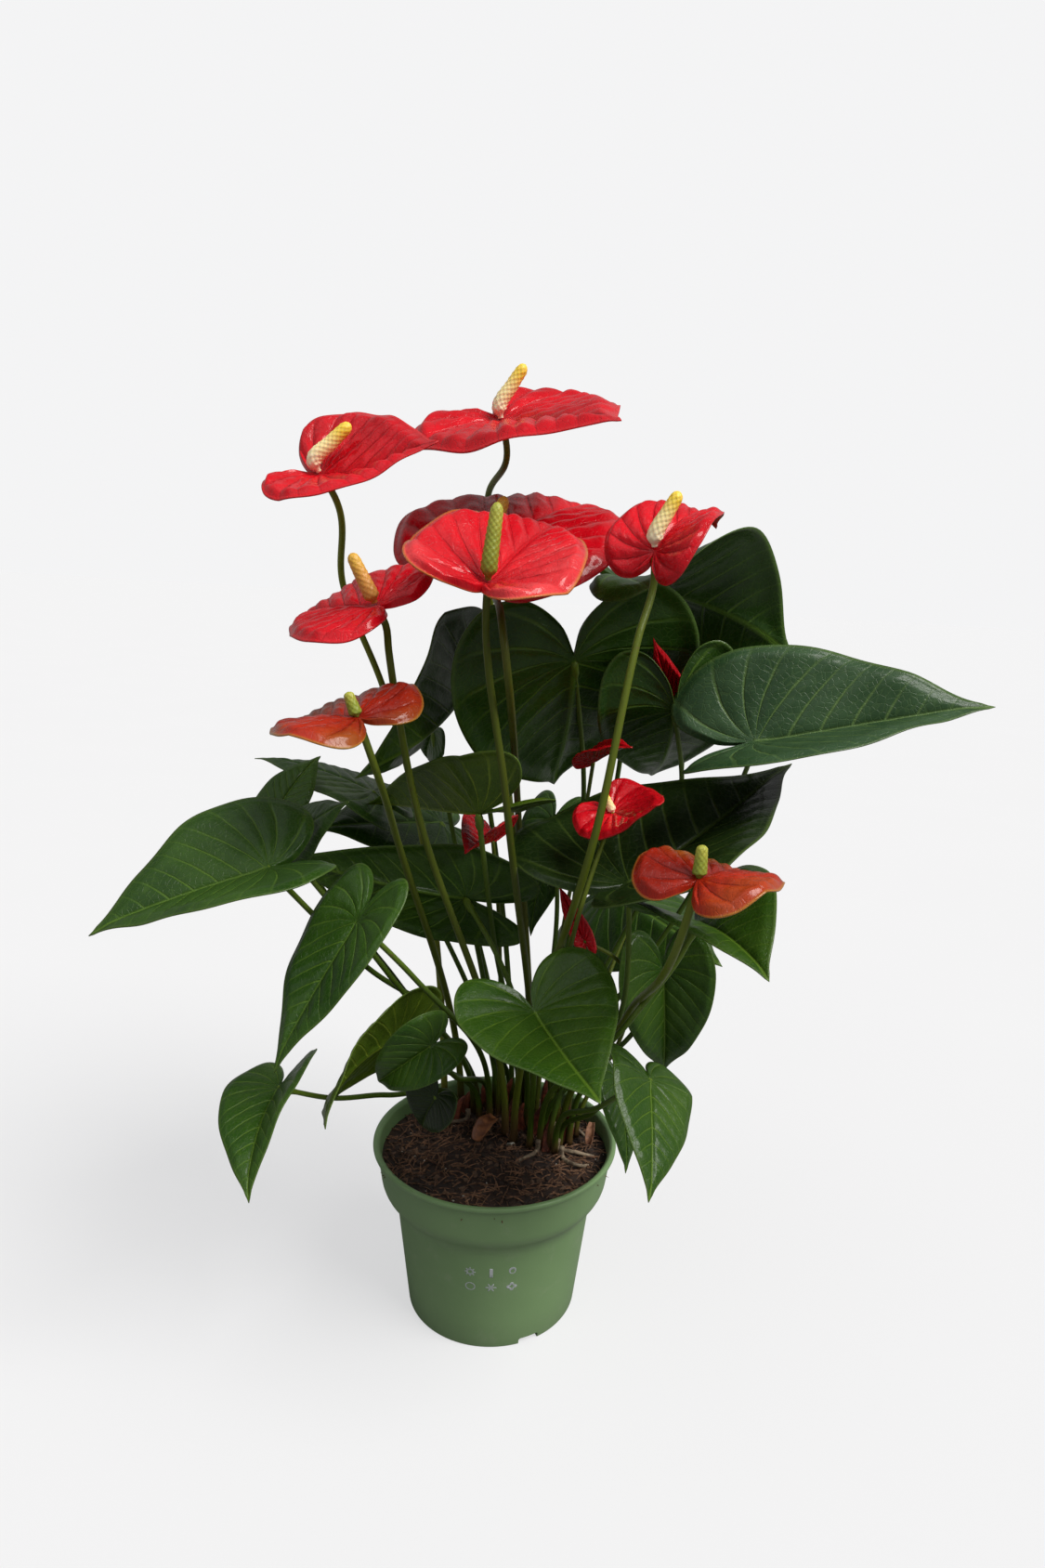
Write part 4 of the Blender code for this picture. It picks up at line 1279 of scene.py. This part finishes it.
@dataclass
class Litter:
    """What lies on the mix: a dry leaf, a curved strap of old sheath and a small plain tag."""

    def strip(
        self, name: str, spot: tuple, size: tuple, turn: float, lean: float, arch: float, curl: float
    ) -> Piece:
        """Models a curved strip.

        Args:
            name: The piece's name.
            spot: Its foot on the mix, in millimetres.
            size: Length and width, in millimetres.
            turn: Its heading, in degrees.
            lean: How steeply it rises, in degrees.
            arch: How far its middle stands over its ends, in millimetres.
            curl: How far its sides rise, in shares of its width.

        Returns:
            The strip, 0.5 mm thick.
        """
        length, width = size[0] * MM, size[1] * MM
        frame = Matrix.Rotation(math.radians(turn), 4, "Z") @ Matrix.Rotation(math.radians(-lean), 4, "Y")
        frame = np.array(Matrix.Translation((spot[0] * MM, spot[1] * MM, MIX_TOP + 1.6 * MM)) @ frame)

        def place(u: Array, v: Array) -> Array:
            """Lays the strip along its frame."""
            half = 0.5 * width * (0.35 + 0.65 * np.sin(np.pi * (0.15 + 0.7 * v)))
            side = (2 * u - 1) * half
            wrinkle = 0.3 * MM * np.sin(17 * v + 5 * u)
            rise = arch * MM * np.sin(np.pi * v) + curl * width * (2 * u - 1) ** 2 + wrinkle
            points = np.stack([v * length, side, rise, np.ones_like(u)], 1)
            return (points @ frame.T)[:, :3]

        piece = Wrap(18, 30, place).build(name, outward=False)
        thicken(piece, 0.5 * MM, 0.0)
        return piece

    def build(self, palette: Palette) -> None:
        """Models and dresses the three pieces."""
        dry = palette.rough_stuff("dry_leaf_skin", (0.12, 0.034, 0.009), (0.34, 0.130, 0.040), 160.0, 0.6)
        piece = self.strip("dried_leaf_skin", (-14, 4), (26, 13), 62, 14, 5, 0.22)
        dress(piece, "dried", (dry,), "dried_leaf")
        strap = palette.rough_stuff("strap_skin", (0.10, 0.035, 0.015), (0.24, 0.110, 0.055), 260.0, 0.7)
        piece = self.strip("dried_sheath_skin", (66, 8), (16, 6), 80, 50, 2, 0.3)
        dress(piece, "dried", (strap,), "dried_sheath")
        tag = palette.rough_stuff("tag_plastic", (0.30, 0.29, 0.25), (0.42, 0.40, 0.35), 90.0, 0.55, 0.0001)
        piece = self.strip("label_strip_skin", (9, 1), (13, 4), -70, 38, 1, 0.0)
        dress(piece, "label", (tag,), "label_strip")


@dataclass
class Studio:
    """The pale floor, soft lights and camera."""

    eye: tuple = (0.0425, -0.5459, 0.4857)
    down: float = 21.73
    roll: float = 3.26
    lens: float = 20.731
    shift: tuple = (-0.0278, 0.1132)
    backdrop: float = 0.905
    air: float = 0.30
    glow: float = 0.578

    def sun(
        self, name: str, heading: float, height: float, softness: float, power: float, tint: tuple
    ) -> None:
        """Adds a soft far light; heading and height say where it stands, in degrees."""
        light = bpy.data.lights.new(name, "SUN")
        light.angle = math.radians(softness)
        light.energy = power
        light.color = tint
        holder = bpy.data.objects.new(name, light)
        bpy.context.collection.objects.link(holder)
        level, up = math.radians(heading), math.radians(height)
        away = Vector((math.cos(level) * math.cos(up), math.sin(level) * math.cos(up), math.sin(up)))
        holder.location = 2 * away
        holder.rotation_euler = away.to_track_quat("Z", "Y").to_euler()

    def build(self) -> None:
        """Builds the floor, the world, the lights and the camera."""
        bpy.ops.object.select_all(action="DESELECT")
        bpy.ops.mesh.primitive_plane_add(size=400, location=(0, 0, 0))
        floor = bpy.context.active_object
        floor.name = "studio_floor"

        def write(graph: Graph) -> dict:
            """Writes the nodes."""
            speck = graph.noise(graph.place(), 3.0, 2.0)
            seen = graph.node("ShaderNodeLightPath", {}).outputs["Is Camera Ray"]
            return {
                "Base Color": graph.blend(speck, (0.245, 0.245, 0.247), (0.255, 0.255, 0.257)),
                "Roughness": 0.9,
                "Emission Strength": graph.math("MULTIPLY", seen, self.glow),
            }

        paper = shade("studio_paper", write, Specular_IOR_Level=0.05, Emission_Color=(1.0, 1.0, 1.01, 1.0))
        floor.data.materials.append(paper)
        world = bpy.data.worlds.new("studio_air")
        bpy.context.scene.world = world
        world.use_nodes = True
        air = world.node_tree.nodes["Background"]
        graph = Graph(world.node_tree)
        seen = graph.node("ShaderNodeLightPath", {}).outputs["Is Camera Ray"]
        shown = graph.math("MULTIPLY", seen, self.backdrop - self.air)
        world.node_tree.links.new(graph.math("ADD", shown, self.air), air.inputs["Strength"])
        air.inputs["Color"].default_value = (1.0, 1.0, 1.006, 1)
        self.sun("key", -28, 50, 34, 3.6, (1.0, 0.985, 0.955))
        self.sun("fill", -125, 55, 60, 0.55, (0.96, 0.98, 1.0))
        camera_data = bpy.data.cameras.new("camera")
        camera = bpy.data.objects.new("camera", camera_data)
        bpy.context.collection.objects.link(camera)
        tilt, roll = math.radians(self.down), math.radians(self.roll)
        forward = Vector((0, math.cos(tilt), -math.sin(tilt)))
        up = Vector((0, math.sin(tilt), math.cos(tilt)))
        right = Vector((1, 0, 0))
        level = math.cos(roll) * right + math.sin(roll) * up
        plumb = math.cos(roll) * up - math.sin(roll) * right
        turn = Matrix((level, plumb, -forward)).transposed()
        camera.matrix_world = Matrix.Translation(self.eye) @ turn.to_4x4()
        camera_data.lens = self.lens
        camera_data.sensor_width = 36
        camera_data.shift_x, camera_data.shift_y = self.shift
        camera_data.clip_start = 0.01
        camera_data.clip_end = 2000
        bpy.context.scene.camera = camera
        bpy.context.scene.view_settings.view_transform = "Standard"


# ---------------------------------------------------------------------------------------------
# Where each leaf and flower grows.

LEAVES = (
    Leaf(
        "leaf_far_right",
        Blade((146, -6, 416), (279, -9, 446), (-0.2, -0.6, 0.8), 0.83, 1, 36, -0.05),
        # Its top takes the bluish tone, a painted reflection of the sky.
        foot=(38, 2), via=((133, 46, 326), (150, 44, 385)), tone=Tone.BLUISH,
    ),
    Leaf(
        "leaf_upper_right",
        Blade((71, 41, 496), (174, 66, 461), (0.3, 0.1, 0.9), 1.32, 32, 7, 0.35, 90),
        foot=(15, 55), via=((71, 100, 366),), tone=Tone.MID,
    ),
    Leaf(
        "leaf_upper_back",
        Blade((37, 14, 453), (24, 100, 367), (-0.4, 0.6, 0.7), 1.27, -25, -6, 0.29, 18),
        foot=(35, 43), via=((48, 85, 364),), tone=Tone.MID,
    ),
    Leaf(
        "leaf_back_right",
        Blade((99, 15, 428), (95, 103, 377), (-0.2, 0.5, 0.8), 0.90, -42, 11, 0.46),
        foot=(36, 34), via=((113, 59, 373),), tone=Tone.MID,
    ),
    Leaf(
        "leaf_right_broad",
        Blade((76, -47, 338), (174, 24, 403), (-0.4, -0.3, 0.9), 1.15, -11, 21, 0.23),
        foot=(52, 10), via=((80, -38, 266),), tone=Tone.DEEP,
    ),
    Leaf(
        "leaf_right_small",
        Blade((115, -68, 324), (142, -139, 321), (-0.2, -0.1, 1.0), 1.22, 34, 32, 0.03),
        foot=(31, 3), via=((81, -92, 274), (106, -72, 303)), tone=Tone.FRESH,
    ),
    Leaf(
        "leaf_right_inner",
        Blade((76, 138, 275), (154, 54, 252), (-0.2, -0.4, 0.9), 1.08, 10, -30, -0.32),
        foot=(39, 37), via=((72, 108, 223),), tone=Tone.MID,
    ),
    Leaf(
        "leaf_right_hanging",
        Blade((107, 5, 263), (116, 20, 178), (0.1, -1.0, -0.1), 0.82, 28, 29, -0.05),
        foot=(33, 18), via=((95, 5, 226),), tone=Tone.FRESH,
    ),
    Leaf(
        "leaf_low_right",
        Blade((92, -114, 247), (92, -171, 210), (0.6, -0.4, 0.7), 0.86, 10, 6, -0.37),
        foot=(42, -3), via=((70, -84, 213), (79, -98, 229)), tone=Tone.FRESH,
    ),
    Leaf(
        "leaf_low_right_behind",
        Blade((80, -53, 211), (87, -86, 167), (0.6, -0.6, 0.5), 0.65, 14, 1, -0.05),
        foot=(45, 6), via=((67, -31, 176),), tone=Tone.MID,
    ),
    Leaf(
        "leaf_front",
        Blade((27, -97, 276), (63, -163, 262), (-0.1, -0.3, 1.0), 1.23, -15, 20, 0.31),
        foot=(24, 3), via=((26, -32, 199),), tone=Tone.FRESH,
    ),
    Leaf(
        "leaf_middle_upper",
        Blade((-13, -29, 369), (-92, 38, 359), (0.4, 0.5, 0.8), 0.71, -2, 36, 0.41),
        foot=(13, 45), via=((-7, 11, 284),), tone=Tone.LIME,
    ),
    Leaf(
        "leaf_left_broad",
        Blade((-26, 14, 303), (-139, -6, 332), (-0.2, 1.0, 0.1), 0.58, -31, 10, -0.43),
        foot=(20, 30), via=((-5, -8, 279),), tone=Tone.FRESH,
    ),
    Leaf(
        "leaf_far_left",
        Blade((-117, -91, 348), (-198, -127, 320), (-0.1, -0.4, 0.9), 1.03, 10, 24, -0.03),
        foot=(6, 60), via=((-86, -24, 270),), tone=Tone.MID,
    ),
    Leaf(
        "leaf_left_boat",
        Blade((-127, -40, 349), (-81, -64, 380), (-0.7, -0.5, 0.5), 0.84, -1, -13, -0.06),
        foot=(-21, 44), via=((-68, -23, 261),), tone=Tone.MID,
    ),
    Leaf(
        "leaf_left_back",
        Blade((-95, 61, 360), (-177, 72, 378), (0.2, 0.0, 1.0), 0.98, 19, -3, -0.23),
        foot=(-4, 52), via=((-73, 72, 307),), tone=Tone.FRESH,
    ),
    Leaf(
        "leaf_back_broad",
        Blade((-59, 133, 324), (-136, 65, 332), (0.4, -0.3, 0.9), 0.96, 10, -0, -0.19),
        foot=(-1, 60), via=((-37, 105, 278),), tone=Tone.MID,
    ),
    Leaf(
        "leaf_upper_left",
        Blade((-31, 47, 433), (-82, -47, 391), (-0.9, 0.3, 0.4), 0.86, -38, 27, -0.35),
        foot=(7, 50), via=((-17, 65, 358),), tone=Tone.FRESH,
    ),
    Leaf(
        "leaf_back_round",
        Blade((-59, 94, 396), (-66, 119, 371), (-0.8, -0.6, -0.3), 1.06, 43, 13, 0.40),
        foot=(-6, 58), via=((-46, 89, 338),), tone=Tone.MID,
    ),
    Leaf(
        "leaf_centre_hanging",
        Blade((27, 109, 333), (14, 89, 250), (-0.2, -0.9, 0.3), 0.56, 34, -6, -0.11),
        foot=(24, 53), via=((33, 87, 288),), tone=Tone.MID,
    ),
    Leaf(
        "leaf_left_narrow",
        Blade((-72, -86, 319), (-109, -132, 249), (-0.4, -0.6, 0.6), 0.64, 9, 12, 0.08),
        foot=(-8, 36), via=((-46, -64, 279),), tone=Tone.MID,
    ),
    Leaf(
        "leaf_low_left",
        Blade((-63, -43, 226), (-87, -123, 211), (-0.9, 0.2, 0.5), 1.05, 41, 7, 0.03),
        foot=(-16, 39), via=((-48, -14, 197),), tone=Tone.LIME,
    ),
    Leaf(
        "leaf_low_left_behind",
        Blade((-31, -92, 249), (-66, -78, 215), (-0.4, -0.9, 0.0), 0.80, 56, 31, -0.31),
        foot=(-10, 52), via=((-27, -14, 186),), tone=Tone.FRESH,
    ),
    Leaf(
        "leaf_left_drooping",
        Blade((-124, -80, 209), (-122, -147, 177), (-0.4, -0.4, 0.8), 0.80, 39, 26, 0.04),
        foot=(-32, 40), via=((-74, -12, 168), (-101, -53, 188)), tone=Tone.FRESH,
    ),
    Leaf(
        "leaf_near_mix",
        Blade((-35, -48, 190), (-46, -36, 158), (-0.6, -0.8, -0.1), 1.13, 37, 18, 0.05),
        foot=(-38, 25), via=((-39, -2, 154),), tone=Tone.DEEP,
    ),
    Leaf(
        "leaf_left_upright",
        Blade((-141, 6, 358), (-123, 41, 386), (0.1, -0.6, 0.8), 0.68, 28, 2, -0.05),
        foot=(-20, 58), via=((-77, 54, 221), (-131, 24, 317)), tone=Tone.FRESH,
    ),
)

FLOWERS = (
    Flower(
        "top_left",
        Blade((-104, -1, 542), (-38, -35, 559), (-0.4, -0.5, 0.8), 1.15, -27, 18, 0.22),
        foot=(-42, 38), via=((-86, 56, 431), (-105, 44, 486)), spadix=(18, -1, 23),
        stem_tint=(0.14, 0.165, 0.014), cream=True,
    ),
    Flower(
        "top",
        Blade((-11, 36, 578), (53, -44, 573), (-0.2, -0.3, 0.9), 1.08, -6, 2, 0.35),
        foot=(21, 60), via=((-15, 134, 412), (-23, 87, 544)), spadix=(13, -1, 26),
        stem_tint=(0.10, 0.13, 0.010), cream=True,
    ),
    Flower(
        "left",
        Blade((-63, -61, 479), (-118, -20, 469), (-0.4, -0.3, 0.9), 1.22, 17, 6, 0.00),
        foot=(5, 18), via=((-51, -42, 393), (-57, -61, 458)), spadix=(-11, -1, 22),
    ),
    Flower(
        "centre",
        Blade((-5, -80, 492), (27, 0, 526), (0.1, -0.4, 0.9), 0.95, 21, 18, 0.47),
        foot=(23, 42), via=((5, -59, 384),), spadix=(4, -1, 33), colour=Colours.ROSE, green=True,
        stem_tint=(0.055, 0.072, 0.006),
    ),
    Flower(
        "centre_back",
        Blade((-10, -6, 510), (50, 85, 540), (0.0, -0.3, 1.0), 1.21, 36, 4, -0.06),
        foot=(22, 47), via=((6, 55, 336), (1, -69, 475)), spadix=(6, -1, 25), stem_tint=(0.065, 0.075, 0.008),
    ),
    Flower(
        "right",
        Blade((74, -64, 511), (109, -22, 528), (-0.1, -0.3, 0.9), 0.93, 70, 19, -0.28),
        foot=(12, 9), via=((57, -87, 393), (69, -72, 471)), spadix=(10, -1, 24), cream=True,
    ),
    Flower(
        "low_left",
        Blade((-65, -100, 429), (-114, -53, 417), (-0.3, -0.1, 1.0), 1.13, 12, 9, -0.38),
        foot=(-31, 48), via=((-58, -40, 352),), spadix=(-4, 0, 11), colour=Colours.ORANGE, green=True,
        radius=3.4 * MM,
    ),
    Flower(
        "low_right",
        Blade((98, -168, 378), (137, -115, 359), (0.2, 0.2, 1.0), 0.95, 34, 8, -0.48),
        foot=(46, 12), via=((80, -62, 260),), spadix=(0, 1, 14), colour=Colours.ORANGE, green=True,
        radius=3.4 * MM,
    ),
)

SMALL_FLOWERS = (
    Flower(
        "small_flower_centre",
        Blade((64, -42, 377), (82, -92, 395), (-0.6, 0.1, 0.8), 0.87, -47, 6, 0.55),
        foot=(43, 29), via=((51, -62, 334),), spadix=(-6, 0, 11), cream=True, radius=2.6 * MM,
    ),
    Flower(
        "bud_right",
        Blade((53, -5, 285), (35, 7, 318), (0.1, -0.9, 0.4), 0.42, -16, 30, -0.25),
        foot=(57, 20), via=((86, 22, 218), (74, -1, 273)),
    ),
    Flower(
        "small_flower_back",
        Blade((52, 20, 394), (73, -12, 411), (-0.5, 0.1, 0.9), 0.70, 11, 42, -0.01),
        foot=(27, 28), via=((51, 48, 371),),
    ),
    Flower(
        "small_flower_left",
        Blade((-10, 32, 338), (-23, -11, 342), (0.0, 0.1, 1.0), 1.17, -1, 51, -0.03),
        foot=(-2, 40), via=((-7, 42, 299),),
    ),
    Flower(
        "bud_back",
        Blade((102, 40, 428), (84, 16, 467), (0.4, -0.9, -0.4), 0.46, -24, 26, 0.00),
        foot=(50, 28), via=((119, 119, 375),),
    ),
)


def main() -> None:
    """Builds the whole plant in order and reports each piece."""
    logging.basicConfig(level=logging.INFO, format="%(message)s")
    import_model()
    bpy.ops.object.select_all(action="DESELECT")
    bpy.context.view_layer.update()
    palette = Palette()
    Pot().build(palette)
    LOG.info("pot built")
    Mix().build(palette)
    Litter().build(palette)
    LOG.info("mix and litter built")
    for leaf in LEAVES:
        leaf.build(palette)
        LOG.info("%s built", leaf.name)
    for flower in FLOWERS:
        flower.build(palette)
        LOG.info("flower %s built", flower.name)
    for flower in SMALL_FLOWERS:
        flower.build_small(palette)
        LOG.info("%s built", flower.name)
    Studio().build()
    bpy.context.view_layer.update()


if __name__ == "__main__":
    main()
